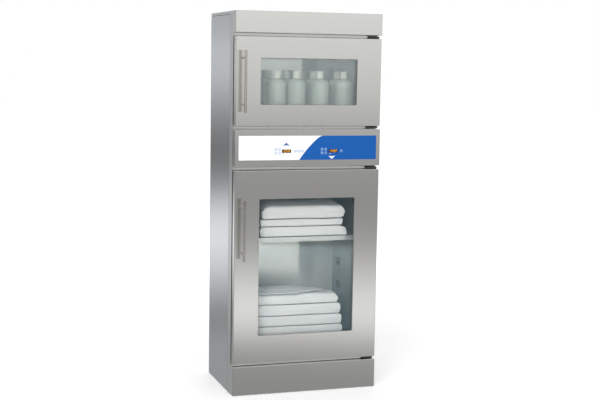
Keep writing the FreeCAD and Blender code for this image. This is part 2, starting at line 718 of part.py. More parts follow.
def mains_inlet():
    """One moulded housing with a three-blade socket and the pocket of the rocker switch."""
    z = inlet_height()
    width, height = INLET_BODY_SIZE
    flange_width, flange_height = INLET_FLANGE_SIZE
    back = BODY_BACK + INLET_FLANGE_THICKNESS
    body = block(INLET_X - width / 2, INLET_X + width / 2, BODY_BACK - INLET_BODY_DEPTH, BODY_BACK,
                 z - height / 2, z + height / 2)
    flange = rounded_prism(INLET_X - flange_width / 2, INLET_X + flange_width / 2, z - flange_height / 2,
                           z + flange_height / 2, BEND_RADIUS, BODY_BACK, back)
    housing = body.fuse(flange)
    socket_x = INLET_X + SOCKET_OFFSET
    socket_width, socket_height = SOCKET_SIZE
    socket_floor = back - SOCKET_DEPTH
    socket = rounded_prism(socket_x - socket_width / 2, socket_x + socket_width / 2, z - socket_height / 2,
                           z + socket_height / 2, SOCKET_CORNER, socket_floor, back)
    pivot_x, pivot_depth, pivot_z = rocker_pivot()
    half = ROCKER_WIDTH / 2 + ROCKER_SIDE_GAP
    pocket = block(pivot_x - half, pivot_x + half, back - ROCKER_POCKET_DEPTH, back,
                   pivot_z - ROCKER_POCKET_HEIGHT / 2, pivot_z + ROCKER_POCKET_HEIGHT / 2)
    reach = ROCKER_WIDTH / 2 + ROCKER_PIN_REACH + HOLE_CLEARANCE
    bore_radius = ROCKER_PIN_RADIUS + HOLE_CLEARANCE
    bearing = cross_rod(pivot_x - reach, pivot_x + reach, pivot_depth, pivot_z, bore_radius)
    solids = [housing.cut([socket, pocket, bearing])]
    blade_width, blade_height, blade_length = BLADE_SIZE
    for offset in (-BLADE_SPACING, 0, BLADE_SPACING):
        x = socket_x + offset
        low = z + BLADE_RISE - blade_height / 2
        solids.append(block(x - blade_width / 2, x + blade_width / 2, socket_floor,
                            socket_floor + blade_length, low, low + blade_height))
    return solids


def power_rocker():
    """The paddle of the mains switch, on two short pins."""
    pivot_x, pivot_depth, pivot_z = rocker_pivot()
    side_x = pivot_x - ROCKER_WIDTH / 2
    corners = [point(side_x, pivot_depth + out, pivot_z + up) for out, up in ROCKER_PROFILE]
    face = Part.Face(Part.makePolygon(corners + [corners[0]]))
    paddle = face.extrude(FreeCAD.Vector(ROCKER_WIDTH, 0, 0))
    reach = ROCKER_WIDTH / 2 + ROCKER_PIN_REACH
    pin = cross_rod(pivot_x - reach, pivot_x + reach, pivot_depth, pivot_z, ROCKER_PIN_RADIUS)
    return [paddle.fuse(pin)]


# Chambers

def liner(bottom, ceiling):
    """The five plates of a chamber's outer liner."""
    solids = [
        block(-LINER_OUTSIDE, LINER_OUTSIDE, FRAME_BACK, CHAMBER_BACK, bottom, bottom + SHEET),
        block(-LINER_OUTSIDE, LINER_OUTSIDE, FRAME_BACK, CHAMBER_BACK, ceiling, ceiling + SHEET),
        block(-LINER_OUTSIDE, LINER_OUTSIDE, CHAMBER_BACK, LINER_BACK, bottom, ceiling + SHEET),
    ]
    for side in (-1, 1):
        x0, x1 = sorted((side * LINER_INSIDE, side * LINER_OUTSIDE))
        solids.append(block(x0, x1, FRAME_BACK, CHAMBER_BACK, bottom + SHEET, ceiling))
    return solids


def duct_panel(side, bottom, floor, ceiling, heights):
    """A chamber's punched side wall, which runs down past the floor to the fan space."""
    x0, x1 = sorted((side * OPENING_HALF, side * DUCT_OUTSIDE))
    wall = block(x0, x1, FACE_BACK, CHAMBER_BACK, floor, ceiling)
    skirt = block(x0, x1, FRAME_BACK, CHAMBER_BACK, bottom + SHEET, floor)
    cuts = []
    for middle in heights:
        for start in (FRONT_SLOT_DEPTH, REAR_SLOT_DEPTH):
            for n in range(SLOTS_IN_GROUP):
                z = middle + SLOT_PITCH * (n - (SLOTS_IN_GROUP - 1) / 2)
                cuts.append(slot_through_side(start, z, SLOT_LENGTH, SLOT_HEIGHT, x0, x1))
            peg_depth = start + SLOT_LENGTH - PEG_SETBACK
            cuts.append(cross_rod(x0, x1, peg_depth, middle + PEG_RISE, PEG_HOLE_RADIUS))
    low = bottom + SHEET + DUCT_INLET_RISE
    bay = (CHAMBER_BACK - FRAME_BACK) / DUCT_INLETS
    for n in range(DUCT_INLETS):
        middle = FRAME_BACK + bay * (n + 0.5)
        cuts.append(block(x0, x1, middle - DUCT_INLET_LENGTH / 2, middle + DUCT_INLET_LENGTH / 2,
                          low, low + DUCT_INLET_HEIGHT))
    return wall.fuse(skirt).removeSplitter().cut(cuts)


def duct_panels():
    solids = []
    for side in (-1, 1):
        solids.append(duct_panel(side, LOWER_LINER_BOTTOM, LOWER_FLOOR, LOWER_CEILING, LOWER_GROUP_HEIGHTS))
        solids.append(duct_panel(side, UPPER_LINER_BOTTOM, UPPER_FLOOR, UPPER_CEILING, UPPER_GROUP_HEIGHTS))
    return solids


def floor_grilles():
    """The two chamber floors, each with a return grille along its back edge."""
    solids = []
    for level in (LOWER_FLOOR, UPPER_FLOOR):
        sheet = block(-OPENING_HALF, OPENING_HALF, FRAME_BACK, CHAMBER_BACK, level - SHEET, level)
        rear = CHAMBER_BACK - GRILLE_REAR_MARGIN
        cuts = []
        for n in range(GRILLE_SLOTS):
            x = GRILLE_PITCH * (n - (GRILLE_SLOTS - 1) / 2)
            cuts.append(slot_through_floor(x, rear - GRILLE_SLOT_LENGTH, rear, GRILLE_SLOT_WIDTH,
                                           level - SHEET, level))
        solids.append(sheet.cut(cuts))
    return solids


def insulation():
    """Slabs between the liners and the case."""
    solids = []
    for side in (-1, 1):
        x0, x1 = sorted((side * LINER_OUTSIDE, side * CASE_INSIDE))
        solids.append(block(x0, x1, SIDE_FRONT + SHEET, POST_FRONT, TUBE, CASE_TOP))
    for z0, z1 in ((TUBE, BAY_BOTTOM), (DECK_TOP, CASE_TOP)):
        solids.append(block(-LINER_OUTSIDE, LINER_OUTSIDE, LINER_BACK, BACK_PANEL_FRONT, z0, z1))
    flat = (
        (TUBE, LOWER_LINER_BOTTOM),
        (LOWER_CEILING + SHEET, BAY_BOTTOM),
        (DECK_TOP, UPPER_LINER_BOTTOM),
        (UPPER_CEILING + SHEET, UPPER_CEILING + SHEET + ROOF_SLAB),
    )
    for z0, z1 in flat:
        solids.append(block(-LINER_OUTSIDE, LINER_OUTSIDE, FRAME_BACK, LINER_BACK, z0, z1))
    return solids


# Heaters and fans

def heater(bottom):
    """A sheathed element bent into an open rectangle round the fan, on a flange and two stands."""
    level = bottom + SHEET + HEATER_RISE
    rear = CHAMBER_BACK - HEATER_FLANGE_THICKNESS
    far = CHAMBER_BACK - HEATER_REAR_GAP
    corners = [
        (-HEATER_TERMINAL_HALF, rear),
        (-HEATER_TERMINAL_HALF, far),
        (-HEATER_HALF_WIDTH, far),
        (-HEATER_HALF_WIDTH, HEATER_FRONT_DEPTH),
        (HEATER_HALF_WIDTH, HEATER_FRONT_DEPTH),
        (HEATER_HALF_WIDTH, far),
        (HEATER_TERMINAL_HALF, far),
        (HEATER_TERMINAL_HALF, rear),
    ]
    edges = rounded_path([point(x, depth, level) for x, depth in corners], HEATER_BEND)
    start = point(corners[0][0], rear, level)
    circle = Part.Wire(Part.makeCircle(HEATER_RADIUS, start, FreeCAD.Vector(0, 1, 0)))
    tube = Part.Wire(edges).makePipeShell([circle], True, False)
    width, height = HEATER_FLANGE_SIZE
    flange = block(-width / 2, width / 2, rear, CHAMBER_BACK, level - height / 2, level + height / 2)
    solids = [tube, flange]
    stand_width, stand_depth = HEATER_STAND_SIZE
    for x in HEATER_STAND_X:
        stand = block(x - stand_width / 2, x + stand_width / 2, HEATER_FRONT_DEPTH - stand_depth / 2,
                      HEATER_FRONT_DEPTH + stand_depth / 2, bottom + SHEET, level)
        saddle = cross_rod(x - stand_width, x + stand_width, HEATER_FRONT_DEPTH, level, HEATER_RADIUS)
        solids.append(stand.cut(saddle))
    return solids


def rounded_path(points, radius):
    """Straight runs joined by tangent arcs; a bend is smaller where its runs are short."""
    edges = []
    start = points[0]
    for before, corner, after in zip(points, points[1:], points[2:]):
        into = (corner - before).normalize()
        out = (after - corner).normalize()
        half_turn = into.getAngle(out) / 2
        shorter = min((corner - before).Length, (after - corner).Length)
        reach = min(radius * math.tan(half_turn), HEATER_BEND_SHARE * shorter)
        first = corner - into * reach
        last = corner + out * reach
        inward = (out - into).normalize()
        bulge = reach * (1 / math.sin(half_turn) - 1 / math.tan(half_turn))
        edges.append(Part.LineSegment(start, first).toShape())
        edges.append(Part.Arc(first, corner + inward * bulge, last).toShape())
        start = last
    edges.append(Part.LineSegment(start, points[-1]).toShape())
    return edges


def heaters():
    return heater(LOWER_LINER_BOTTOM) + heater(UPPER_LINER_BOTTOM)


def motor_top(bottom):
    return bottom + SHEET + MOTOR_PLATE_THICKNESS + MOTOR_HEIGHT + MOTOR_NOSE


def fan_motors():
    """Each motor stands on a plate on the liner floor, its shaft upward."""
    solids = []
    for bottom in (LOWER_LINER_BOTTOM, UPPER_LINER_BOTTOM):
        seat = bottom + SHEET
        half = MOTOR_PLATE / 2
        plate = block(-half, half, FAN_DEPTH - half, FAN_DEPTH + half, seat, seat + MOTOR_PLATE_THICKNESS)
        low = seat + MOTOR_PLATE_THICKNESS
        can = post(0, FAN_DEPTH, MOTOR_RADIUS, low, low + MOTOR_HEIGHT)
        nose = post(0, FAN_DEPTH, MOTOR_NOSE_RADIUS, low + MOTOR_HEIGHT, motor_top(bottom))
        shaft = post(0, FAN_DEPTH, SHAFT_RADIUS, motor_top(bottom), motor_top(bottom) + SHAFT_LENGTH)
        solids.append(plate)
        solids.append(can.fuse([nose, shaft]))
    return solids


def fan_wheel(bottom):
    """A radial wheel: back plate, hub, blades and inlet ring in one piece."""
    low = motor_top(bottom) + WHEEL_GAP
    high = low + WHEEL_HEIGHT
    plate = post(0, FAN_DEPTH, WHEEL_RADIUS, low, low + WHEEL_PLATE)
    hub = post(0, FAN_DEPTH, WHEEL_HUB_RADIUS, low, high)
    ring = post(0, FAN_DEPTH, WHEEL_RADIUS, high - WHEEL_PLATE, high)
    ring = ring.cut(post(0, FAN_DEPTH, WHEEL_INLET_RADIUS, high - WHEEL_PLATE, high))
    blades = []
    for n in range(WHEEL_BLADES):
        blade = block(WHEEL_INLET_RADIUS - WHEEL_HUB_RADIUS, WHEEL_RADIUS - WHEEL_PLATE,
                      FAN_DEPTH - WHEEL_BLADE / 2, FAN_DEPTH + WHEEL_BLADE / 2, low, high)
        blade.rotate(point(0, FAN_DEPTH, low), FreeCAD.Vector(0, 0, 1), 360.0 / WHEEL_BLADES * n)
        blades.append(blade)
    bore = post(0, FAN_DEPTH, SHAFT_RADIUS + PIN_CLEARANCE, low, high)
    return [plate.fuse([hub, ring] + blades).removeSplitter().cut(bore)]


def temperature_probes():
    solids = []
    for ceiling in (LOWER_CEILING, UPPER_CEILING):
        z = ceiling - PROBE_DROP
        nut_front = CHAMBER_BACK - PROBE_NUT
        nut = rod(PROBE_X, z, PROBE_NUT_RADIUS, nut_front, CHAMBER_BACK)
        stem = rod(PROBE_X, z, PROBE_RADIUS, nut_front - PROBE_LENGTH, nut_front)
        solids.append(nut.fuse(stem))
    return solids


# Shelf

def shelf():
    """A sheet turned down on all four sides, with rows of air slots."""
    half = OPENING_HALF - SHELF_END_GAP
    rear = CHAMBER_BACK - SHELF_REAR_GAP
    bottom = SHELF_TOP - SHELF_LIP
    outer = block(-half, half, SHELF_FRONT_DEPTH, rear, bottom, SHELF_TOP)
    top_z = SHELF_TOP
    bends = edges_where(outer, lambda edge: edge.BoundBox.ZMin > top_z - SAME or along_axis(edge, 2))
    outer = outer.makeFillet(BEND_RADIUS, bends)
    hollow = block(-half + SHEET, half - SHEET, SHELF_FRONT_DEPTH + SHEET, rear - SHEET,
                   bottom, SHELF_TOP - SHEET)
    cuts = [hollow]
    middle = (SHELF_FRONT_DEPTH + rear) / 2
    for row in range(SHELF_SLOT_ROWS):
        depth = middle + SHELF_ROW_SPACING * (row - (SHELF_SLOT_ROWS - 1) / 2)
        for column in range(SHELF_SLOT_COLUMNS):
            x = SHELF_SLOT_PITCH * (column - (SHELF_SLOT_COLUMNS - 1) / 2)
            cuts.append(slot_through_floor(x, depth - SHELF_SLOT_LENGTH / 2, depth + SHELF_SLOT_LENGTH / 2,
                                           SHELF_SLOT_WIDTH, SHELF_TOP - SHEET, SHELF_TOP))
    return [outer.cut(cuts)]


def shelf_clips():
    """Four hooks pegged into the duct panels; the shelf's end lips sit on their ledges."""
    solids = []
    seat = SHELF_TOP - SHELF_LIP - CLIP_SEAT_GAP
    level = SHELF_PEG_LEVEL
    for side in (-1, 1):
        for start in (FRONT_SLOT_DEPTH, REAR_SLOT_DEPTH):
            depth = start + SLOT_LENGTH - PEG_SETBACK
            x0, x1 = sorted((side * (OPENING_HALF - CLIP_PLATE), side * OPENING_HALF))
            plate = block(x0, x1, depth - CLIP_WIDTH / 2, depth + CLIP_WIDTH / 2,
                          seat - CLIP_LEDGE_THICKNESS, level + PEG_HOLE_RADIUS)
            x0, x1 = sorted((side * (OPENING_HALF - CLIP_LEDGE), side * OPENING_HALF))
            ledge = block(x0, x1, depth - CLIP_WIDTH / 2, depth + CLIP_WIDTH / 2,
                          seat - CLIP_LEDGE_THICKNESS, seat)
            x0, x1 = sorted((side * OPENING_HALF, side * (DUCT_OUTSIDE + CLIP_PEG_TAIL)))
            peg = cross_rod(x0, x1, depth, level, PEG_HOLE_RADIUS - CLIP_PEG_CLEARANCE)
            solids.append(plate.fuse([ledge, peg]).removeSplitter())
    return solids


# Doors

def door_skin(z0, z1, window_height):
    """The outer pan of a door, open at the back, with a folded window edge."""
    outer = block(-DOOR_HALF, DOOR_HALF, 0, DOOR_THICKNESS, z0, z1)
    front_y = FRONT_Y
    picked = edges_where(
        outer,
        lambda edge: along_axis(edge, 1) or edge.BoundBox.YMax < front_y + SAME,
    )
    outer = outer.makeFillet(BEND_RADIUS, picked)
    inside = DOOR_HALF - SHEET
    hollow = block(-inside, inside, SHEET, DOOR_THICKNESS, z0 + SHEET, z1 - SHEET)
    rim = window_prism(z0, z1, window_height, SHEET, 0, WINDOW_RETURN)
    hole = window_prism(z0, z1, window_height, 0, 0, WINDOW_RETURN)
    skin = outer.cut(hollow).fuse(rim).removeSplitter().cut(hole)
    middle = (z0 + z1) / 2
    lip = edges_where(
        skin,
        lambda edge: edge.BoundBox.YMax < front_y + SAME
        and abs(edge.CenterOfMass.x) <= WINDOW_WIDTH / 2 + SAME
        and abs(edge.CenterOfMass.z - middle) <= window_height / 2 + SAME,
    )
    skin = skin.makeFillet(WINDOW_LIP_RADIUS, lip)
    cuts = [bush_blank(z0, z1, end) for end in (-1, 1)]
    return skin.cut(cuts)


def window_prism(z0, z1, height, margin, d0, d1):
    """A door's window outline, grown by the margin."""
    middle = (z0 + z1) / 2
    half = WINDOW_WIDTH / 2 + margin
    rise = height / 2 + margin
    return rounded_prism(-half, half, middle - rise, middle + rise, WINDOW_CORNER + margin, d0, d1)


def pane_stack():
    """Depths of the front seal, front pane, spacer, rear pane and rear seal."""
    depths = [WINDOW_RETURN]
    for step in (SEAL_THICKNESS, FRONT_PANE, PANE_GAP, REAR_PANE, SEAL_THICKNESS):
        depths.append(depths[-1] + step)
    return depths


def door_panes(z0, z1, height):
    depths = pane_stack()
    front = window_prism(z0, z1, height, PANE_OVERLAP, depths[1], depths[2])
    rear = window_prism(z0, z1, height, PANE_OVERLAP, depths[3], depths[4])
    return [front, rear]


def door_glazing_seals(z0, z1, height):
    """The soft rims in front of and behind the panes, and the spacer between them."""
    depths = pane_stack()
    solids = []
    for d0, d1, outer, inner in (
        (depths[0], depths[1], FRONT_SEAL_WIDTH - SEAL_LIP, -SEAL_LIP),
        (depths[2], depths[3], PANE_OVERLAP, PANE_OVERLAP - SPACER_WIDTH),
        (depths[4], depths[5], PANE_OVERLAP, REAR_OPENING_MARGIN - SEAL_LIP),
    ):
        blank = window_prism(z0, z1, height, outer, d0, d1)
        solids.append(blank.cut(window_prism(z0, z1, height, inner, d0, d1)))
    return solids


def door_inner_panel(z0, z1, height):
    """The sheet that closes the door's back, folded forward round an opening larger than the window."""
    inside = DOOR_HALF - SHEET
    sheet = block(-inside, inside, DOOR_THICKNESS - SHEET, DOOR_THICKNESS, z0 + SHEET, z1 - SHEET)
    start = pane_stack()[5]
    rim = window_prism(z0, z1, height, REAR_OPENING_MARGIN + SHEET, start, DOOR_THICKNESS)
    hole = window_prism(z0, z1, height, REAR_OPENING_MARGIN, start, DOOR_THICKNESS)
    return [sheet.fuse(rim).removeSplitter().cut(hole)]


def bush_blank(z0, z1, end):
    """The full outline of a pivot bush at the door's top (1) or bottom (-1) edge."""
    low = z1 - BUSH_LENGTH if end > 0 else z0
    return post(PIVOT_X, PIVOT_DEPTH, BUSH_RADIUS, low, low + BUSH_LENGTH)


def door_bushes(z0, z1):
    solids = []
    for end in (-1, 1):
        bore = post(PIVOT_X, PIVOT_DEPTH, PIN_RADIUS + PIN_CLEARANCE, z0, z1)
        solids.append(bush_blank(z0, z1, end).cut(bore))
    return solids


def handle_parts(middle):
    """A bar on two posts, each held by a screw through a backing plate inside the door."""
    reach = HANDLE_LENGTH / 2
    bar = post(HANDLE_X, -HANDLE_STANDOFF, HANDLE_RADIUS, middle - reach, middle + reach)
    bar = bar.makeChamfer(HANDLE_END_CHAMFER, edges_where(bar, lambda edge: edge.BoundBox.ZLength < SAME))
    solids = [bar]
    half = BACKING_PLATE_SIZE / 2
    plate_back = SHEET + BACKING_PLATE_THICKNESS
    for side in (-1, 1):
        z = middle + side * POST_SPACING / 2
        stem = rod(HANDLE_X, z, POST_RADIUS, -HANDLE_STANDOFF, 0).cut(bar)
        hole_radius = HANDLE_SCREW_RADIUS + HOLE_CLEARANCE
        hole = rod(HANDLE_X, z, hole_radius, -HANDLE_SCREW_REACH - SCREW_TIP_ROOM, plate_back)
        plate = block(HANDLE_X - half, HANDLE_X + half, SHEET, plate_back, z - half, z + half)
        shank = rod(HANDLE_X, z, HANDLE_SCREW_RADIUS, -HANDLE_SCREW_REACH, plate_back)
        head = rod(HANDLE_X, z, SCREW_HEAD_RADIUS, plate_back, plate_back + SCREW_HEAD_HEIGHT)
        solids.append(stem.cut(hole))
        solids.append(plate.cut(hole))
        solids.append(shank.fuse(head))
    return solids


def handle_holes(middle, d0, d1):
    radius = HANDLE_SCREW_RADIUS + HOLE_CLEARANCE
    return [rod(HANDLE_X, middle + side * POST_SPACING / 2, radius, d0, d1) for side in (-1, 1)]


def handle_pockets(middle):
    """Room in the core for the backing plates and the screw heads."""
    half = BACKING_PLATE_SIZE / 2
    plate_back = SHEET + BACKING_PLATE_THICKNESS
    pockets = []
    for side in (-1, 1):
        z = middle + side * POST_SPACING / 2
        pockets.append(block(HANDLE_X - half, HANDLE_X + half, SHEET, plate_back, z - half, z + half))
        pockets.append(rod(HANDLE_X, z, SCREW_HEAD_RADIUS, plate_back, plate_back + SCREW_HEAD_HEIGHT))
    return pockets


def door_core(z0, z1, height, handle_middle):
    """Four foam strips round the panes, recessed for the bushes and the handle plates."""
    inside = DOOR_HALF - SHEET
    pane_half = WINDOW_WIDTH / 2 + PANE_OVERLAP
    middle = (z0 + z1) / 2
    pane_rise = height / 2 + PANE_OVERLAP
    back = DOOR_THICKNESS - SHEET
    strips = [
        block(-inside, -pane_half, SHEET, back, z0 + SHEET, z1 - SHEET),
        block(pane_half, inside, SHEET, back, z0 + SHEET, z1 - SHEET),
        block(-pane_half, pane_half, SHEET, back, z0 + SHEET, middle - pane_rise),
        block(-pane_half, pane_half, SHEET, back, middle + pane_rise, z1 - SHEET),
    ]
    pockets = [bush_blank(z0, z1, end) for end in (-1, 1)] + handle_pockets(handle_middle)
    return [strip.cut(pockets) for strip in strips]


def door_gasket(z0, z1):
    """Four strips of tapered seal on the back of the door, just clear of the frame's face."""
    back = DOOR_THICKNESS + GASKET_DEPTH
    taper = (GASKET_WIDTH - GASKET_TIP_WIDTH) / 2
    outer = DOOR_HALF - GASKET_INSET
    inner = outer - GASKET_WIDTH
    low = z0 + GASKET_INSET
    high = z1 - GASKET_INSET
    solids = []
    for x0, x1 in ((-outer, -inner), (inner, outer)):
        corners = [
            point(x0, DOOR_THICKNESS, low),
            point(x1, DOOR_THICKNESS, low),
            point(x1 - taper, back, low),
            point(x0 + taper, back, low),
        ]
        face = Part.Face(Part.makePolygon(corners + [corners[0]]))
        solids.append(face.extrude(FreeCAD.Vector(0, 0, high - low)))
    for end in (low, high - GASKET_WIDTH):
        corners = [
            point(-inner, DOOR_THICKNESS, end),
            point(-inner, back, end + taper),
            point(-inner, back, end + GASKET_WIDTH - taper),
            point(-inner, DOOR_THICKNESS, end + GASKET_WIDTH),
        ]
        face = Part.Face(Part.makePolygon(corners + [corners[0]]))
        solids.append(face.extrude(FreeCAD.Vector(2 * inner, 0, 0)))
    return solids


def save_door(prefix, z0, z1, window_height, handle_middle):
    skin = door_skin(z0, z1, window_height).cut(handle_holes(handle_middle, 0, SHEET))
    save(prefix + "_door_skin", [skin])
    save(prefix + "_door_inner_panel", door_inner_panel(z0, z1, window_height))
    save(prefix + "_door_core", door_core(z0, z1, window_height, handle_middle))
    save(prefix + "_door_panes", door_panes(z0, z1, window_height))
    save(prefix + "_door_glazing_seals", door_glazing_seals(z0, z1, window_height))
    save(prefix + "_door_gasket", door_gasket(z0, z1))
    save(prefix + "_door_handle", handle_parts(handle_middle))
    save(prefix + "_door_bushes", door_bushes(z0, z1))


def hinge_pivot(gap_low, gap_high, end):
    """A bracket on the frame's face with a pin up (1) or down (-1) into a door, and its washer."""
    middle = (gap_low + gap_high) / 2
    low = middle - BRACKET_THICKNESS / 2
    high = middle + BRACKET_THICKNESS / 2
    start = PIVOT_X - BRACKET_LENGTH
    plate = block(start, PIVOT_X + BRACKET_NOSE_RADIUS, PIVOT_DEPTH, BODY_FRONT, low, high)
    nose = post(PIVOT_X, PIVOT_DEPTH, BRACKET_NOSE_RADIUS, low, high)
    arm = block(start, PIVOT_X, PIVOT_DEPTH - BRACKET_NOSE_RADIUS, PIVOT_DEPTH, low, high)
    foot = block(start, PIVOT_X + BRACKET_NOSE_RADIUS, BODY_FRONT - BRACKET_FOOT, BODY_FRONT,
                 gap_low + BRACKET_FOOT_MARGIN, gap_high - BRACKET_FOOT_MARGIN)
    bracket = plate.fuse([nose, arm, foot]).removeSplitter()
    if end > 0:
        pin = post(PIVOT_X, PIVOT_DEPTH, PIN_RADIUS, low, gap_high + PIN_REACH)
        washer = post(PIVOT_X, PIVOT_DEPTH, WASHER_RADIUS, high, gap_high - WASHER_CLEARANCE)
    else:
        pin = post(PIVOT_X, PIVOT_DEPTH, PIN_RADIUS, gap_low - PIN_REACH, high)
        washer = post(PIVOT_X, PIVOT_DEPTH, WASHER_RADIUS, gap_low + WASHER_CLEARANCE, low)
    return [bracket.cut(pin), pin, washer.cut(pin)]


def hinge_pivots():
    solids = hinge_pivot(KICK_TOP, LOWER_DOOR_BOTTOM, 1)
    solids += hinge_pivot(LOWER_DOOR_TOP, CONTROL_BOTTOM, -1)
    solids += hinge_pivot(CONTROL_TOP, UPPER_DOOR_BOTTOM, 1)
    solids += hinge_pivot(UPPER_DOOR_TOP, HEADER_BOTTOM, -1)
    return solids


# Load

def revolved(profile_edges, x, depth, z):
    face = Part.Face(Part.Wire(profile_edges))
    solid = face.revolve(FreeCAD.Vector(0, 0, 0), FreeCAD.Vector(0, 0, 1), 360)
    solid.translate(point(x, depth, z))
    return solid


def line(a, b):
    return Part.LineSegment(FreeCAD.Vector(a[0], 0, a[1]), FreeCAD.Vector(b[0], 0, b[1])).toShape()


def arc(a, m, b):
    return Part.Arc(*[FreeCAD.Vector(p[0], 0, p[1]) for p in (a, m, b)]).toShape()


def bottle(x, depth, level):
    """A round bottle with a rounded foot, a domed shoulder and a short neck."""
    foot = BOTTLE_FOOT_RADIUS
    bend = foot * (1 - math.sqrt(0.5))
    wall_top = BOTTLE_WALL_HEIGHT
    shoulder_top = wall_top + BOTTLE_SHOULDER
    run = BOTTLE_RADIUS - NECK_RADIUS
    knee = (NECK_RADIUS + run * math.sqrt(0.5), wall_top + BOTTLE_SHOULDER * math.sqrt(0.5))
    neck_top = shoulder_top + NECK_HEIGHT
    edges = [
        line((0, 0), (BOTTLE_RADIUS - foot, 0)),
        arc((BOTTLE_RADIUS - foot, 0), (BOTTLE_RADIUS - bend, bend), (BOTTLE_RADIUS, foot)),
        line((BOTTLE_RADIUS, foot), (BOTTLE_RADIUS, wall_top)),
        arc((BOTTLE_RADIUS, wall_top), knee, (NECK_RADIUS, shoulder_top)),
        line((NECK_RADIUS, shoulder_top), (NECK_RADIUS, neck_top)),
        line((NECK_RADIUS, neck_top), (0, neck_top)),
        line((0, neck_top), (0, 0)),
    ]
    return revolved(edges, x, depth, level)


def bottle_cap(x, depth, level):
    """A screw cap over the neck, with a bead round its foot."""
    low = BOTTLE_HEIGHT - CAP_HEIGHT
    inner = NECK_RADIUS + CAP_WALL_GAP
    roof = BOTTLE_WALL_HEIGHT + BOTTLE_SHOULDER + NECK_HEIGHT
    corner = CAP_CORNER
    bend = corner * (1 - math.sqrt(0.5))
    edges = [
        line((0, roof), (inner, roof)),
        line((inner, roof), (inner, low)),
        line((inner, low), (CAP_RADIUS + CAP_BEAD, low)),
        line((CAP_RADIUS + CAP_BEAD, low), (CAP_RADIUS + CAP_BEAD, low + 2 * CAP_BEAD)),
        line((CAP_RADIUS + CAP_BEAD, low + 2 * CAP_BEAD), (CAP_RADIUS, low + 3 * CAP_BEAD)),
        line((CAP_RADIUS, low + 3 * CAP_BEAD), (CAP_RADIUS, BOTTLE_HEIGHT - corner)),
        arc((CAP_RADIUS, BOTTLE_HEIGHT - corner), (CAP_RADIUS - bend, BOTTLE_HEIGHT - bend),
            (CAP_RADIUS - corner, BOTTLE_HEIGHT)),
        line((CAP_RADIUS - corner, BOTTLE_HEIGHT), (0, BOTTLE_HEIGHT)),
        line((0, BOTTLE_HEIGHT), (0, roof)),
    ]
    return revolved(edges, x, depth, level)


def blanket_pile(sizes, level):
    """Folded blankets one on another, each with soft edges."""
    solids = []
    for x0, x1, thickness in sizes:
        solid = block(x0, x1, BLANKET_FRONT_DEPTH, BLANKET_FRONT_DEPTH + BLANKET_LENGTH,
                      level, level + thickness - BLANKET_GAP)
        radius = min(BLANKET_ROUND * thickness, BLANKET_ROUND_LIMIT)
        solids.append(solid.makeFillet(radius, solid.Edges))
        level += thickness
    return solids


# All sub-parts

save("base_frame", base_frame())
save("cabinet_frame", cabinet_frame())
save("side_panels", side_panels())
save("top_panel", top_panel())
save("back_panel", back_panel())
save("panel_screws", panel_screws())
save("header_panel", [folded_front(HALF + FRONT_OVERHANG, HEADER_BOTTOM, TOTAL_HEIGHT, BODY_FRONT)])
save("kick_panel", [folded_front(HALF, KICK_CLEARANCE, KICK_TOP, BODY_FRONT)])
save("control_fascia", control_fascia())
save("control_overlay", control_overlay())
save("display_modules", display_modules())
save("control_board", control_board())
save("power_supply", power_supply())
save("mains_inlet", mains_inlet())
save("power_rocker", power_rocker())
save("lower_liner", liner(LOWER_LINER_BOTTOM, LOWER_CEILING))
save("upper_liner", liner(UPPER_LINER_BOTTOM, UPPER_CEILING))
save("duct_panels", duct_panels())
save("floor_grilles", floor_grilles())
save("insulation", insulation())
save("heaters", heaters())
save("fan_motors", fan_motors())
save("lower_fan_wheel", fan_wheel(LOWER_LINER_BOTTOM))
save("upper_fan_wheel", fan_wheel(UPPER_LINER_BOTTOM))
save("temperature_probes", temperature_probes())
save("shelf", shelf())
save("shelf_clips", shelf_clips())
save("hinge_pivots", hinge_pivots())
lower_handle_middle = (LOWER_DOOR_BOTTOM + LOWER_DOOR_TOP + LOWER_WINDOW_HEIGHT - HANDLE_LENGTH) / 2
upper_handle_middle = (UPPER_DOOR_BOTTOM + UPPER_DOOR_TOP) / 2
save_door("lower", LOWER_DOOR_BOTTOM, LOWER_DOOR_TOP, LOWER_WINDOW_HEIGHT, lower_handle_middle)
save_door("upper", UPPER_DOOR_BOTTOM, UPPER_DOOR_TOP, UPPER_WINDOW_HEIGHT, upper_handle_middle)
for prefix, spots in (("upper", UPPER_KEYS), ("lower", LOWER_KEYS)):
    for number, (key_x, key_z) in enumerate(spots, start=1):
        save(prefix + "_button_" + str(number), control_key(key_x, key_z))
bottle_spots = [(OPENING_HALF - reach, depth) for reach, depth in BOTTLE_FRONT_ROW + BOTTLE_REAR_ROW]
save("bottles", [bottle(x, depth, UPPER_FLOOR) for x, depth in bottle_spots])
save("bottle_caps", [bottle_cap(x, depth, UPPER_FLOOR) for x, depth in bottle_spots])
save("shelf_blankets", blanket_pile(SHELF_BLANKETS, SHELF_TOP))
save("floor_blankets", blanket_pile(FLOOR_BLANKETS, LOWER_FLOOR))
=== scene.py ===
import math

import bpy
from mathutils import Matrix, Vector, noise


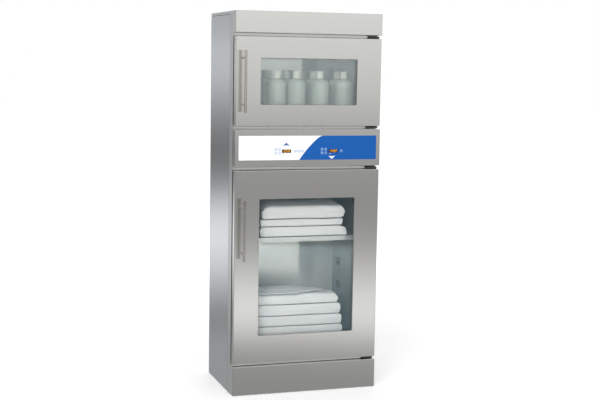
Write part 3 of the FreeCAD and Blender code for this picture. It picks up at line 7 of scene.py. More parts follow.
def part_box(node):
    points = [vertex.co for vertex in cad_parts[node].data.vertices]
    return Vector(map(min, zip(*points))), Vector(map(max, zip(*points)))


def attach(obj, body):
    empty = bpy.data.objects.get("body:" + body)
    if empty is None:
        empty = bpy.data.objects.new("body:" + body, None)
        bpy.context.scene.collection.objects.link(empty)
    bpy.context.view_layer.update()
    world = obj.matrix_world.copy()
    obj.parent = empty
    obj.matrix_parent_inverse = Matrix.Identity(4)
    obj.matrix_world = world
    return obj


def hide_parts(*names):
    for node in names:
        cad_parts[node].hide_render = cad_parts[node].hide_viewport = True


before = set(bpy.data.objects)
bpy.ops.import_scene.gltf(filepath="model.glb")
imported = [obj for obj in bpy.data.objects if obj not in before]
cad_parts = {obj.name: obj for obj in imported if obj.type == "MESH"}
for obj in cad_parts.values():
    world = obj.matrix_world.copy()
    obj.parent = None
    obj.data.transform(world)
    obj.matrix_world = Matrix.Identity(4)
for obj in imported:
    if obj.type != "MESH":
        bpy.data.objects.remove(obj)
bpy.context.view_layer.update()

# Metres, in the frame of the solids: X to the right, Y to the back, Z up.
FRONT_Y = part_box("lower_door_skin")[0].y

# Camera, found from the corners of the fronts in the photograph
CAMERA_PLACE = (-1.8905, -5.8533, 1.6408)
CAMERA_YAW = -18.178
CAMERA_PITCH = -6.424
CAMERA_ROLL = -0.912
CAMERA_LENS = 72.516
SENSOR_WIDTH = 36.0

# Light, at a level where a colour renders about as it is written
SOFT_LIGHT = 0.55
KEY_LIGHT = ((-2.6, -4.6, 2.7), 2.2, 150.0)
FILL_LIGHT = ((1.2, -5.0, 1.1), 2.0, 60.0)
REAR_LIGHT = ((1.5, 4.5, 3.0), 3.0, 60.0)
LIGHT_AIM = (0.0, 0.0, 0.95)
FLOOR_RADIUS = 40.0
FLOOR_SIDES = 64
FLOOR_GREY = 0.86
# The floor's own white: near the object, far away, and the two distances between which it grows
FLOOR_LIFT = (0.33, 0.55, 1.2, 5.0)


# Nodes and meshes

def material(name):
    made = bpy.data.materials.new(name)
    made.use_nodes = True
    tree = made.node_tree
    return made, tree, tree.nodes["Principled BSDF"]


def node(tree, kind, inputs=None, **settings):
    made = tree.nodes.new(kind)
    for key, value in settings.items():
        setattr(made, key, value)
    for key, value in (inputs or {}).items():
        socket = made.inputs[key]
        if isinstance(value, bpy.types.NodeSocket):
            tree.links.new(value, socket)
        else:
            socket.default_value = value
    return made


def maths(tree, operation, a, b=0.0):
    return node(tree, "ShaderNodeMath", {0: a, 1: b}, operation=operation).outputs[0]


def coordinates(tree, scale=(1.0, 1.0, 1.0)):
    place = node(tree, "ShaderNodeTexCoord").outputs["Object"]
    return node(tree, "ShaderNodeMapping", {"Vector": place, "Scale": scale}).outputs[0]


def noise_on(tree, scale, detail=3.0, roughness=0.55):
    """Noise in the piece's own coordinates, with its own scale along each axis."""
    vector = coordinates(tree, scale)
    settings = {"Vector": vector, "Scale": 1.0, "Detail": detail, "Roughness": roughness}
    return node(tree, "ShaderNodeTexNoise", settings).outputs["Fac"]


# The range in which nearly all of a noise texture's values lie
NOISE_LOW = 0.3
NOISE_HIGH = 0.7


def spread(tree, value, low, high, start=NOISE_LOW, end=NOISE_HIGH):
    """The value's range from start to end, moved to low and high."""
    inputs = {"Value": value, "From Min": start, "From Max": end, "To Min": low, "To Max": high}
    return node(tree, "ShaderNodeMapRange", inputs).outputs[0]


def ramp(tree, value, stops):
    made = node(tree, "ShaderNodeValToRGB", {"Fac": value})
    band = made.color_ramp
    while len(band.elements) < len(stops):
        band.elements.new(1.0)
    for element, (position, colour) in zip(band.elements, stops):
        element.position = position
        element.color = (*colour, 1.0)
    return made.outputs["Color"]


def bump(tree, height, distance, strength=1.0):
    inputs = {"Height": height, "Distance": distance, "Strength": strength}
    return node(tree, "ShaderNodeBump", inputs).outputs[0]


def tinted(colour, share):
    return tuple(min(1.0, part * share) for part in colour)


def mottled(tree, noise_value, colour, dark, light):
    """The colour, varied by a noise between two shares of its brightness."""
    return ramp(tree, noise_value, [(NOISE_LOW, tinted(colour, dark)), (NOISE_HIGH, tinted(colour, light))])


def link(tree, shader, **sockets):
    """Join node outputs to the shader's inputs; an underscore stands for a space."""
    for key, output in sockets.items():
        tree.links.new(output, shader.inputs[key.replace("_", " ")])


def fix(shader, **values):
    """Set the shader's inputs to plain values; an underscore stands for a space."""
    for key, value in values.items():
        shader.inputs[key.replace("_", " ")].default_value = value


def grain_up(tree):
    """The direction of a sheet's grain: round the upright axis."""
    return node(tree, "ShaderNodeTangent", direction_type="RADIAL", axis="Z").outputs[0]


def mesh_piece(name, points, faces, smooth=False):
    mesh = bpy.data.meshes.new(name)
    mesh.from_pydata([tuple(p) for p in points], [], faces)
    mesh.validate()
    mesh.update()
    if smooth:
        mesh.shade_smooth()
    piece = bpy.data.objects.new(name, mesh)
    bpy.context.scene.collection.objects.link(piece)
    return piece


def paint(piece, made):
    piece.data.materials.clear()
    piece.data.materials.append(made)


# Materials

STEEL_GRAIN = (900.0, 900.0, 6.0)
FINE_GRAIN = 900.0
FILM_GRAIN = 1200.0
LAMP_GRAIN = 1500.0
MARK_SCALE = (60.0, 60.0, 60.0)
# How much of the steel's change of tone comes from its grain; the rest comes from broad clouds
LINE_SHARE = 0.7
# Depths of relief
STEEL_RELIEF = 0.00002
MOULD_RELIEF = 0.00003
FILM_RELIEF = 0.00001


def brushed_steel(name, colour, roughness, anisotropy):
    """Stainless sheet: the grain runs up the sheet, so its reflections spread sideways."""
    made, tree, shader = material(name)
    lines = noise_on(tree, STEEL_GRAIN, 4.0, 0.6)
    clouds = noise_on(tree, (3.0, 3.0, 2.0), 2.0)
    blend = maths(tree, "ADD", maths(tree, "MULTIPLY", lines, LINE_SHARE),
                  maths(tree, "MULTIPLY", clouds, 1.0 - LINE_SHARE))
    link(tree, shader, Base_Color=mottled(tree, blend, colour, 0.975, 1.02),
         Roughness=spread(tree, blend, roughness * 0.9, roughness * 1.12),
         Normal=bump(tree, lines, STEEL_RELIEF, 0.35), Tangent=grain_up(tree))
    fix(shader, Metallic=1.0, Anisotropic=anisotropy)
    return made


def plain_metal(name, colour, roughness):
    """Turned, drawn or plated metal, with a slight change of polish."""
    made, tree, shader = material(name)
    marks = noise_on(tree, MARK_SCALE, 3.0)
    link(tree, shader, Base_Color=mottled(tree, marks, colour, 0.9, 1.08),
         Roughness=spread(tree, marks, roughness * 0.8, roughness * 1.25))
    fix(shader, Metallic=1.0)
    return made


# How bright matt sheet stays where the photograph shows none of it: painted shade in the ducts, and a dark
# joint at the rear edge
DUCT_PAINTED_SHADE = 0.06


def matt_sheet(name, colour, roughness, metal, grain=0.0, painted_shade_beyond=None, joint=None):
    """Matt sheet that carries a soft reflection; painted shade beyond an X and a dark joint behind a Y, where
    they are given.
    """
    made, tree, shader = material(name)
    clouds = noise_on(tree, (5.0, 5.0, 4.0), 3.0)
    colours = ramp(tree, clouds, [(0.0, tinted(colour, 0.93)), (1.0, tinted(colour, 1.07))])
    # Painted shade where the sheet lies in a duct, beyond the X; behind the Y, a dark joint.
    if painted_shade_beyond:
        place = node(tree, "ShaderNodeSeparateXYZ", {0: coordinates(tree)}).outputs
        inside = maths(tree, "LESS_THAN", maths(tree, "ABSOLUTE", place["X"]), painted_shade_beyond)
        if joint:
            inside = maths(tree, "MULTIPLY", inside, maths(tree, "LESS_THAN", place["Y"], joint))
        shade = spread(tree, inside, DUCT_PAINTED_SHADE, 1.0, 0.0, 1.0)
        colours = node(tree, "ShaderNodeMix", {0: 1.0, 6: colours, 7: shade}, data_type="RGBA",
                       blend_type="MULTIPLY").outputs[2]
    link(tree, shader, Base_Color=colours,
         Roughness=spread(tree, clouds, roughness * 0.8, roughness * 1.2, 0.0, 1.0))
    fix(shader, Metallic=metal)
    if grain:
        link(tree, shader, Tangent=grain_up(tree))
        fix(shader, Anisotropic=grain, Anisotropic_Rotation=0.25)
    return made


def moulded(name, colour, roughness):
    """Plastic or rubber with a fine moulded grain."""
    made, tree, shader = material(name)
    fine = noise_on(tree, (FINE_GRAIN, FINE_GRAIN, FINE_GRAIN), 2.0)
    broad = noise_on(tree, (14.0, 14.0, 14.0), 3.0)
    link(tree, shader, Base_Color=mottled(tree, broad, colour, 0.85, 1.15),
         Roughness=spread(tree, fine, roughness * 0.85, roughness * 1.15),
         Normal=bump(tree, fine, MOULD_RELIEF))
    return made


FOAM_CELLS = 420.0
CELL_RELIEF = 0.0004


def foam(name, colour):
    """Closed cells, darker towards each cell's middle, where the bump makes a hollow: painted shade."""
    made, tree, shader = material(name)
    cells = node(tree, "ShaderNodeTexVoronoi", {"Vector": coordinates(tree), "Scale": FOAM_CELLS})
    walls = cells.outputs["Distance"]
    link(tree, shader, Base_Color=ramp(tree, walls, [(0.1, tinted(colour, 0.78)), (0.6, colour)]),
         Normal=bump(tree, walls, CELL_RELIEF))
    fix(shader, Roughness=0.9)
    return made


def window_glass(name, tint, index, mirror_tint):
    """Clear tinted glass that lets lamp light through to what is behind it."""
    made, tree, shader = material(name)
    streaks = noise_on(tree, (6.0, 6.0, 3.0), 2.0)
    link(tree, shader, Base_Color=mottled(tree, streaks, tint, 0.985, 1.0),
         Roughness=spread(tree, streaks, 0.0, 0.01))
    fix(shader, Transmission_Weight=1.0, IOR=index, Specular_Tint=(*mirror_tint, 1.0))
    path = node(tree, "ShaderNodeLightPath").outputs
    passing = maths(tree, "MAXIMUM", path["Is Shadow Ray"], path["Is Diffuse Ray"])
    one_face = tuple(math.sqrt(part) for part in tint)
    clear = node(tree, "ShaderNodeBsdfTransparent", {"Color": (*one_face, 1.0)})
    mixed = node(tree, "ShaderNodeMixShader", {0: passing, 1: shader.outputs[0], 2: clear.outputs[0]})
    tree.links.new(mixed.outputs[0], tree.nodes["Material Output"].inputs["Surface"])
    return made


# Half the height over which the fluid's tone changes at its level, and how far the level wanders
LEVEL_SOFTNESS = 0.0015
LEVEL_WAVES = 0.0012
WALL_RELIEF = 0.0006


def milky_plastic(name, colour, full_height, full_colour, low_beyond, drop):
    """Thin translucent wall, deeper in tone up to the fluid's level; the level is lower beyond one X."""
    made, tree, shader = material(name)
    place = node(tree, "ShaderNodeSeparateXYZ", {0: coordinates(tree)}).outputs
    waves = noise_on(tree, (30.0, 30.0, 8.0), 2.0)
    lower = maths(tree, "MULTIPLY", maths(tree, "GREATER_THAN", place["X"], low_beyond), drop)
    wavy = maths(tree, "MULTIPLY", waves, LEVEL_WAVES)
    level = maths(tree, "ADD", maths(tree, "ADD", place["Z"], lower), wavy)
    filled = spread(tree, level, 0.0, 1.0, full_height - LEVEL_SOFTNESS, full_height + LEVEL_SOFTNESS)
    link(tree, shader, Base_Color=ramp(tree, filled, [(0.0, full_colour), (1.0, colour)]),
         Roughness=spread(tree, waves, 0.18, 0.26), Normal=bump(tree, waves, WALL_RELIEF))
    fix(shader, Specular_IOR_Level=0.8, Coat_Weight=1.0, Coat_Roughness=0.06, Coat_IOR=1.8,
        Subsurface_Weight=0.35, Subsurface_Radius=(0.012, 0.016, 0.014), Subsurface_Scale=1.0)
    return made


RIB_PITCH = 0.0022
RIB_RELIEF = 0.00012


def ribbed_cap(name, colour):
    """Screw cap with fine upright ribs."""
    made, tree, shader = material(name)
    place = node(tree, "ShaderNodeSeparateXYZ", {0: coordinates(tree)}).outputs
    ribs = maths(tree, "SINE", maths(tree, "MULTIPLY", place["X"], 2 * math.pi / RIB_PITCH))
    marks = noise_on(tree, MARK_SCALE, 3.0)
    link(tree, shader, Base_Color=mottled(tree, marks, colour, 0.93, 1.06),
         Roughness=spread(tree, marks, 0.38, 0.5), Normal=bump(tree, ribs, RIB_RELIEF))
    return made


# Cotton: how close its threads are and how uneven, how high its weave, its creases and its soft folds stand
# against each other, and how deep the whole of them is
THREAD_SCALE = 190.0
THREAD_WANDER = 1.2
WEAVE_HEIGHT = 0.05
CREASE_HEIGHT = 0.9
SOFT_HEIGHT = 1.1
COTTON_RELIEF = 0.0045


def threads(tree, direction):
    """One direction of a weave, as fine uneven bands."""
    settings = {"Vector": coordinates(tree), "Scale": THREAD_SCALE, "Distortion": THREAD_WANDER,
                "Detail": 2.0}
    return node(tree, "ShaderNodeTexWave", settings, bands_direction=direction).outputs["Fac"]


def cotton(name, colour):
    """Washed cotton blanket: a fine weave, pressed creases that run along its folds, and soft nap."""
    made, tree, shader = material(name)
    weave = maths(tree, "MULTIPLY", threads(tree, "X"), threads(tree, "Z"))
    creases = noise_on(tree, (6.0, 70.0, 95.0), 4.0, 0.6)
    soft = noise_on(tree, (16.0, 16.0, 22.0), 3.0)
    fine = maths(tree, "ADD", maths(tree, "MULTIPLY", weave, WEAVE_HEIGHT),
                 maths(tree, "MULTIPLY", creases, CREASE_HEIGHT))
    height = maths(tree, "ADD", fine, maths(tree, "MULTIPLY", soft, SOFT_HEIGHT))
    # The colour is a little darker down in the creases, where the bump is lowest: painted shade.
    link(tree, shader, Base_Color=ramp(tree, creases, [(0.25, tinted(colour, 0.93)), (0.55, colour)]),
         Normal=bump(tree, height, COTTON_RELIEF, 0.9))
    fix(shader, Roughness=0.95, Sheen_Weight=0.25, Sheen_Roughness=0.5, Subsurface_Weight=0.35,
        Subsurface_Radius=(0.009, 0.008, 0.007), Subsurface_Scale=1.0)
    return made


def glowing(name, colour, strength):
    """A lit display segment."""
    made, tree, shader = material(name)
    grain = noise_on(tree, (LAMP_GRAIN, LAMP_GRAIN, LAMP_GRAIN), 1.0)
    lit = mottled(tree, grain, colour, 0.8, 1.0)
    link(tree, shader, Base_Color=lit, Emission_Color=lit)
    fix(shader, Emission_Strength=strength, Roughness=0.4)
    return made


# The overlay's print: white at the left, blue at the right, parted by one curved line.
# Each pair is a height on the overlay, as a share of it, and the line's X there.
OVERLAY_LINE = ((0.0, -0.0478), (0.168, -0.0338), (0.326, -0.0191), (0.484, -0.0032), (0.642, 0.0147),
                (0.774, 0.0306), (0.879, 0.0447), (0.947, 0.0562), (1.0, 0.0720))
LINE_LOW = -0.05
LINE_HIGH = 0.08
LINE_SOFTNESS = 0.0002
FILM_GLOSS = 0.15
OVERLAY_WHITE = (0.80, 0.805, 0.80)
OVERLAY_BLUE = (0.007, 0.088, 0.34)


def overlay_film():
    """The panel's printed film, matt enough to stay clear of reflections."""
    made, tree, shader = material("printed_overlay")
    low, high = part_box("control_overlay")
    place = node(tree, "ShaderNodeSeparateXYZ", {0: coordinates(tree)}).outputs
    share = spread(tree, place["Z"], 0.0, 1.0, low.z, high.z)
    curve = node(tree, "ShaderNodeFloatCurve", {"Value": share})
    points = curve.mapping.curves[0].points
    while len(points) < len(OVERLAY_LINE):
        points.new(0.5, 0.5)
    for target, (height, x) in zip(points, OVERLAY_LINE):
        target.location = (height, (x - LINE_LOW) / (LINE_HIGH - LINE_LOW))
    curve.mapping.update()
    line = spread(tree, curve.outputs[0], LINE_LOW, LINE_HIGH, 0.0, 1.0)
    past_line = maths(tree, "SUBTRACT", place["X"], line)
    beyond = spread(tree, past_line, 0.0, 1.0, -LINE_SOFTNESS, LINE_SOFTNESS)
    grain = noise_on(tree, (FILM_GRAIN, FILM_GRAIN, FILM_GRAIN), 2.0)
    link(tree, shader, Base_Color=ramp(tree, beyond, [(0.0, OVERLAY_WHITE), (1.0, OVERLAY_BLUE)]),
         Roughness=spread(tree, grain, 0.32, 0.42), Normal=bump(tree, grain, FILM_RELIEF))
    fix(shader, Specular_IOR_Level=FILM_GLOSS)
    return made


# The ring on a key, from and to a share of the key's radius
KEY_RING = (0.58, 0.82)
RING_SOFTNESS = 0.03


def button_film(name, field, outline):
    """A round key's face with a printed ring, placed by the key's own box."""
    made, tree, shader = material(name)
    box_place = node(tree, "ShaderNodeTexCoord").outputs["Generated"]
    place = node(tree, "ShaderNodeSeparateXYZ", {0: box_place}).outputs
    across = maths(tree, "SUBTRACT", place["X"], 0.5)
    up = maths(tree, "SUBTRACT", place["Z"], 0.5)
    square = maths(tree, "ADD", maths(tree, "MULTIPLY", across, across), maths(tree, "MULTIPLY", up, up))
    radius = maths(tree, "MULTIPLY", maths(tree, "SQRT", square), 2.0)
    inner, outer = KEY_RING
    stops = [(0.0, field), (inner, field), (inner + RING_SOFTNESS, outline),
             (outer - RING_SOFTNESS, outline), (outer, field)]
    grain = noise_on(tree, (FILM_GRAIN, FILM_GRAIN, FILM_GRAIN), 2.0)
    link(tree, shader, Base_Color=ramp(tree, radius, stops), Roughness=spread(tree, grain, 0.3, 0.4))
    fix(shader, Specular_IOR_Level=FILM_GLOSS)
    return made


STEEL = brushed_steel("brushed_stainless", (0.62, 0.615, 0.605), 0.15, 1.0)
SIDE_STEEL = brushed_steel("brushed_stainless_side", (0.60, 0.615, 0.63), 0.15, 1.0)
FRAME_STEEL = brushed_steel("frame_stainless", (0.60, 0.60, 0.59), 0.28, 0.5)
LINER_STEEL = matt_sheet("liner_sheet", (0.50, 0.50, 0.47), 0.2, 0.6)
# The outer rear corner of the duct panels: what lies beyond its X is in the dark of a duct, and that shade is
# painted into the colour. The panels' outermost part gets the same painted shade, and the joint at their rear
# edge is a dark joint, to these depths.
DUCT_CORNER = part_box("duct_panels")[1]
PAINTED_SHADE_FACE = 0.0008
DARK_JOINT = 0.003
# Both liners carry painted shade beyond the duct corner's X, inside the ducts.
LOWER_LINER = matt_sheet("lower_liner_sheet", (0.76, 0.75, 0.705), 0.15, 0.52, 0.9, DUCT_CORNER.x)
UPPER_LINER = matt_sheet("upper_liner_sheet", (0.62, 0.63, 0.61), 0.08, 0.85, 0.0, DUCT_CORNER.x)
# The duct panels are the liners' sheet at a much darker tone: painted shade.
DUCT_STEEL_PAINTED_SHADE = matt_sheet("duct_sheet_painted_shade", (0.25, 0.275, 0.27), 0.22, 0.25, 0.0, DUCT_CORNER.x - PAINTED_SHADE_FACE,
                        DUCT_CORNER.y - DARK_JOINT)
SHELF_STEEL = matt_sheet("shelf_sheet", (0.66, 0.67, 0.66), 0.22, 0.5)
HANDLE_STEEL = plain_metal("satin_handle_steel", (0.56, 0.54, 0.50), 0.09)
# Near black: painted shade of the door gaps, on the hinge steel.
HINGE_STEEL = plain_metal("hinge_steel_painted_shade", (0.10, 0.095, 0.085), 0.4)
FASTENER_STEEL = plain_metal("plated_fastener", (0.68, 0.68, 0.67), 0.22)
SHEATH = plain_metal("oxidised_sheath", (0.20, 0.17, 0.15), 0.45)
WHEEL_METAL = plain_metal("cast_aluminium", (0.66, 0.66, 0.66), 0.4)
BRASS = plain_metal("bearing_brass", (0.62, 0.45, 0.2), 0.3)
RUBBER = moulded("black_rubber", (0.016, 0.016, 0.016), 0.65)
GLAZING_SEAL = moulded("glazing_seal", (0.22, 0.225, 0.23), 0.5)
BLACK_PLASTIC = moulded("black_plastic", (0.02, 0.02, 0.022), 0.4)
MOTOR_PAINT = moulded("motor_enamel", (0.05, 0.05, 0.055), 0.35)
GREY_CASE = moulded("grey_component_case", (0.18, 0.19, 0.2), 0.5)
BOARD = moulded("board_green", (0.02, 0.13, 0.06), 0.35)
LENS = moulded("dark_display_lens", (0.035, 0.014, 0.004), 0.12)
FOAM = foam("insulation_foam", (0.74, 0.66, 0.42))
GLASS = window_glass("tinted_window_glass", (0.95, 0.968, 0.966), 1.43, (0.6, 0.85, 1.0))
UPPER_GLASS = window_glass("hazed_window_glass", (0.95, 0.972, 0.972), 1.85, (0.85, 0.97, 1.0))
# The fluid stands this high in a bottle, and lower by a drop in those beyond an X
FILL_HEIGHT = 0.180
LOW_FILL_X = 0.18
LOW_FILL_DROP = 0.021
BOTTLE = milky_plastic("translucent_bottle", (0.43, 0.465, 0.42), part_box("bottles")[0].z + FILL_HEIGHT,
                       (0.355, 0.392, 0.338), LOW_FILL_X, LOW_FILL_DROP)
CAP = ribbed_cap("cream_cap", (0.60, 0.605, 0.51))
COTTON = cotton("washed_cotton", (0.765, 0.738, 0.726))
OVERLAY = overlay_film()
KEY_ON_WHITE = button_film("key_on_white", OVERLAY_WHITE, (0.10, 0.25, 0.60))
KEY_ON_BLUE = button_film("key_on_blue", OVERLAY_BLUE, (0.30, 0.47, 0.75))
BLUE_INK = moulded("blue_ink", (0.005, 0.075, 0.31), 0.4)
WHITE_INK = moulded("white_ink", (0.9, 0.9, 0.9), 0.4)
AMBER = glowing("amber_segments", (1.0, 0.42, 0.03), 1.1)

NODE_MATERIALS = {
    "base_frame": FRAME_STEEL, "cabinet_frame": FRAME_STEEL, "side_panels": SIDE_STEEL,
    "top_panel": SIDE_STEEL, "back_panel": SIDE_STEEL, "panel_screws": FASTENER_STEEL,
    "header_panel": STEEL, "kick_panel": STEEL, "control_fascia": STEEL, "control_overlay": OVERLAY,
    "display_modules": LENS, "control_board": BOARD, "power_supply": GREY_CASE,
    "mains_inlet": BLACK_PLASTIC, "power_rocker": BLACK_PLASTIC, "lower_liner": LOWER_LINER,
    "upper_liner": UPPER_LINER, "duct_panels": DUCT_STEEL_PAINTED_SHADE, "floor_grilles": LINER_STEEL,
    "insulation": FOAM, "heaters": SHEATH, "fan_motors": MOTOR_PAINT, "lower_fan_wheel": WHEEL_METAL,
    "upper_fan_wheel": WHEEL_METAL, "temperature_probes": FASTENER_STEEL, "shelf": SHELF_STEEL,
    "shelf_clips": FASTENER_STEEL, "hinge_pivots": HINGE_STEEL, "bottles": BOTTLE, "bottle_caps": CAP,
    "shelf_blankets": COTTON, "floor_blankets": COTTON,
}
DOOR_MATERIALS = {
    "door_skin": STEEL, "door_inner_panel": LINER_STEEL, "door_core": FOAM, "door_panes": GLASS,
    "door_glazing_seals": GLAZING_SEAL, "door_gasket": RUBBER, "door_handle": HANDLE_STEEL,
    "door_bushes": BRASS,
}


def paint_nodes():
    for name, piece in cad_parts.items():
        if name in NODE_MATERIALS:
            paint(piece, NODE_MATERIALS[name])
        elif name == "upper_door_panes":
            paint(piece, UPPER_GLASS)
        elif "_button_" in name:
            paint(piece, KEY_ON_WHITE if name.startswith("upper") else KEY_ON_BLUE)
        else:
            paint(piece, DOOR_MATERIALS[name.split("_", 1)[1]])


paint_nodes()


# Printed marks and display digits, each a thin plate on the surface that carries it

INK = 0.00012


def round_outline(x, z, radius, sides):
    """Corners of a regular outline round a centre."""
    turns = [2 * math.pi * n / sides for n in range(sides)]
    return [(x + radius * math.cos(turn), z + radius * math.sin(turn)) for turn in turns]


def thin_plate(name, outlines, front, made, body):
    """Flat shapes, given as outlines of (x, z), that stand a hair in front of a face."""
    points = []
    faces = []
    for outline in outlines:
        start = len(points)
        count = len(outline)
        for depth in (front - INK, front):
            points += [(x, depth, z) for x, z in outline]
        faces.append([start + n for n in range(count)])
        faces.append([start + count + n for n in reversed(range(count))])
        for n in range(count):
            after = (n + 1) % count
            faces.append([start + after, start + n, start + count + n, start + count + after])
    piece = mesh_piece(name, points, faces)
    paint(piece, made)
    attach(piece, body)
    return piece


# The depth of the notch in an arrowhead's foot, as a share of half the arrowhead's height
NOTCH = 0.35


def chevron(x, z, half_width, half_height, direction):
    """A flat arrowhead with a notched foot."""
    foot = z - direction * half_height
    return [(x - half_width, foot), (x, foot + direction * half_height * NOTCH), (x + half_width, foot),
            (x, z + direction * half_height)]


OVERLAY_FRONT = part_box("control_overlay")[0].y
KEY_LINE = (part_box("display_modules")[0].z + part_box("display_modules")[1].z) / 2
ARROW_HALF = (0.0175, 0.0078)
# Each arrow's X, and its height over the line of the keys
UP_ARROW = (-0.115, 0.034)
DOWN_ARROW = (0.122, -0.032)


def arrow(name, place, direction, ink):
    x, rise = place
    outline = chevron(x, KEY_LINE + rise, *ARROW_HALF, direction)
    thin_plate(name, [outline], OVERLAY_FRONT, ink, "cabinet")


arrow("up_arrow", UP_ARROW, 1, BLUE_INK)
arrow("down_arrow", DOWN_ARROW, -1, WHITE_INK)

UPPER_DISPLAY = -0.1135
LOWER_DISPLAY = 0.1295
DIGIT_WIDTH = 0.0064
DIGIT_HEIGHT = 0.0118
DIGIT_PITCH = 0.0106
STROKE = 0.0019
STROKE_GAP = 0.62
SLANT = 0.10
SEGMENTS = {"0": "abcdef", "1": "bc", "4": "fgbc", "F": "afge"}


def bar(x0, z0, x1, z1):
    """A pointed segment between two points, upright or level."""
    half = STROKE / 2
    gap = STROKE * STROKE_GAP
    if abs(x1 - x0) > abs(z1 - z0):
        return [(x0 + gap, z0), (x0 + gap + half, z0 + half), (x1 - gap - half, z0 + half), (x1 - gap, z0),
                (x1 - gap - half, z0 - half), (x0 + gap + half, z0 - half)]
    return [(x0, z0 + gap), (x0 - half, z0 + gap + half), (x0 - half, z1 - gap - half), (x0, z1 - gap),
            (x0 + half, z1 - gap - half), (x0 + half, z0 + gap + half)]


def digit(text, x, z):
    """Seven-segment outlines of one digit, centred at x and z."""
    left = x - DIGIT_WIDTH / 2
    right = x + DIGIT_WIDTH / 2
    low = z - DIGIT_HEIGHT / 2
    high = z + DIGIT_HEIGHT / 2
    bars = {
        "a": (left, high, right, high), "b": (right, z, right, high), "c": (right, low, right, z),
        "d": (left, low, right, low), "e": (left, low, left, z), "f": (left, z, left, high),
        "g": (left, z, right, z),
    }
    outlines = []
    for letter in SEGMENTS[text]:
        outline = bar(*bars[letter])
        outlines.append([(px + SLANT * (pz - z), pz) for px, pz in outline])
    return outlines


def display(name, x, text):
    """A row of lit digits on the lens of a display, centred at x."""
    outlines = []
    for n, letter in enumerate(text):
        outlines += digit(letter, x + DIGIT_PITCH * (n - (len(text) - 1) / 2), KEY_LINE)
    lens_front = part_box("display_modules")[0].y
    thin_plate(name, outlines, lens_front, AMBER, "cabinet")


display("upper_digits", UPPER_DISPLAY, "104F")
display("lower_digits", LOWER_DISPLAY, "140F")

# Two small printed marks under the left end of each display
MARK_HALF = (0.0016, 0.0012)
MARK_DROP = 0.0135
MARK_PLACES = (-0.0195, -0.0125)


def small_marks(name, x, made):
    outlines = []
    for shift in MARK_PLACES:
        left = x + shift - MARK_HALF[0]
        right = x + shift + MARK_HALF[0]
        low = KEY_LINE - MARK_DROP - MARK_HALF[1]
        high = KEY_LINE - MARK_DROP + MARK_HALF[1]
        outlines.append([(left, low), (right, low), (right, high), (left, high)])
    thin_plate(name, outlines, OVERLAY_FRONT, made, "cabinet")


small_marks("upper_marks", UPPER_DISPLAY, BLACK_PLASTIC)
small_marks("lower_marks", LOWER_DISPLAY, WHITE_INK)


# Signs on the keys: arrows on the square groups, bars and dots on the single keys

# Half the width of a sign, and as shares of it an arrow's foot, a dot's radius and half a bar's height
SIGN = 0.0026
FOOT = SIGN * 0.6
DOT = SIGN * 0.6
BAR = SIGN * 0.2
DOT_SIDES = 12


def sign_outline(kind, x, z):
    if kind == "up":
        return [(x - SIGN, z - FOOT), (x + SIGN, z - FOOT), (x, z + SIGN)]
    if kind == "down":
        return [(x - SIGN, z + FOOT), (x, z - SIGN), (x + SIGN, z + FOOT)]
    if kind == "bar":
        return [(x - SIGN, z - BAR), (x + SIGN, z - BAR), (x + SIGN, z + BAR), (x - SIGN, z + BAR)]
    return round_outline(x, z, DOT, DOT_SIDES)


KEY_SIGNS = {
    "upper": ("up", "dot", "down", "bar", "up", "down", "dot"),
    "lower": ("up", "dot", "down", "bar", "dot"),
}


def key_signs(group, ink):
    for number, kind in enumerate(KEY_SIGNS[group], start=1):
        key = f"{group}_button_{number}"
        low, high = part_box(key)
        outline = sign_outline(kind, (low.x + high.x) / 2, (low.z + high.z) / 2)
        thin_plate(f"{key}_sign", [outline], low.y, ink, f"{key}_key")


key_signs("upper", BLUE_INK)
key_signs("lower", WHITE_INK)


# Folded blankets: each is one sheet, wound flat, with its free edge on top

CLOTH = 0.0036
# Room between the cloth and the face that it shares with its neighbour
CLOTH_ROOM = 0.0004
# Sections along a blanket, and how strongly they crowd towards its two ends
STATIONS = 44
CROWDING = 0.85
RUN_STEP = 0.016
CORNER_STEPS = 4
# Least radius of a fold, and the share of the half height up to which the front stays flat
LEAST_FOLD = 0.55 * CLOTH
FLAT_FRONT = 0.82
# Near its ends a blanket gets thinner: over a share of its height, and by a share of its height
END_ROUND = 0.20
END_PINCH = 0.22
# How far the ends and the front wander from straight, the size of their waves, and how far the front's
# waves move on over a blanket's height
END_WANDER = 0.004
END_WAVE = 0.1
FRONT_WANDER = 0.004
FRONT_WAVE = 0.07
FRONT_SHIFT = 0.08
# The long and the short waves of a face between two blankets, and how high the short ones are beside the long
LONG_WAVE = 0.16
SHORT_WAVE = 0.05
SHORT_SHARE = 0.35
# What is added to a blanket's seed, so that its waves differ from each other
FRONT_SEED = 1.0
RIGHT_SEED = 3.0
LEFT_SEED = 5.0
SHORT_SEED = 9.0
# The floor pile lies lower at its rear, by so much for each blanket; where that starts behind the door's
# front, and over what depth it grows
FLOOR_SAG = 0.0042
SAG_START = 0.13
SAG_RUN = 0.26
# The height of a nub as a share of the blanket's, and how an end curves back below and above its peak
NUB_HEIGHT = 0.09
LOW_CURVE = 1.5
HIGH_CURVE = 1.3
# A sheet's length as a multiple of its width
SPLIT_SHARE = 0.52
# Two solids of a pile are told apart by the heights of their lowest corners
SAME_HEIGHT = 0.0001
# The share of a straight run that the turn at its end may take
TURN_SHARE = 0.49


def layers_of(name):
    """Lowest and highest corner of each solid of a pile, from the bottom up."""
    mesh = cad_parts[name].data
    faces = []
    for face in mesh.polygons:
        corners = [mesh.vertices[n].co for n in face.vertices]
        faces.append((min(p.z for p in corners), max(p.z for p in corners), corners))
    layers = []
    for low, high, corners in sorted(faces, key=lambda face: face[0]):
        if not layers or low > layers[-1][0] + SAME_HEIGHT:
            layers.append([high, []])
        layers[-1][0] = max(layers[-1][0], high)
        layers[-1][1] += corners
    boxes = []
    for _, group in layers:
        low = Vector([min(p[n] for p in group) for n in range(3)])
        high = Vector([max(p[n] for p in group) for n in range(3)])
        boxes.append((low, high))
    return boxes


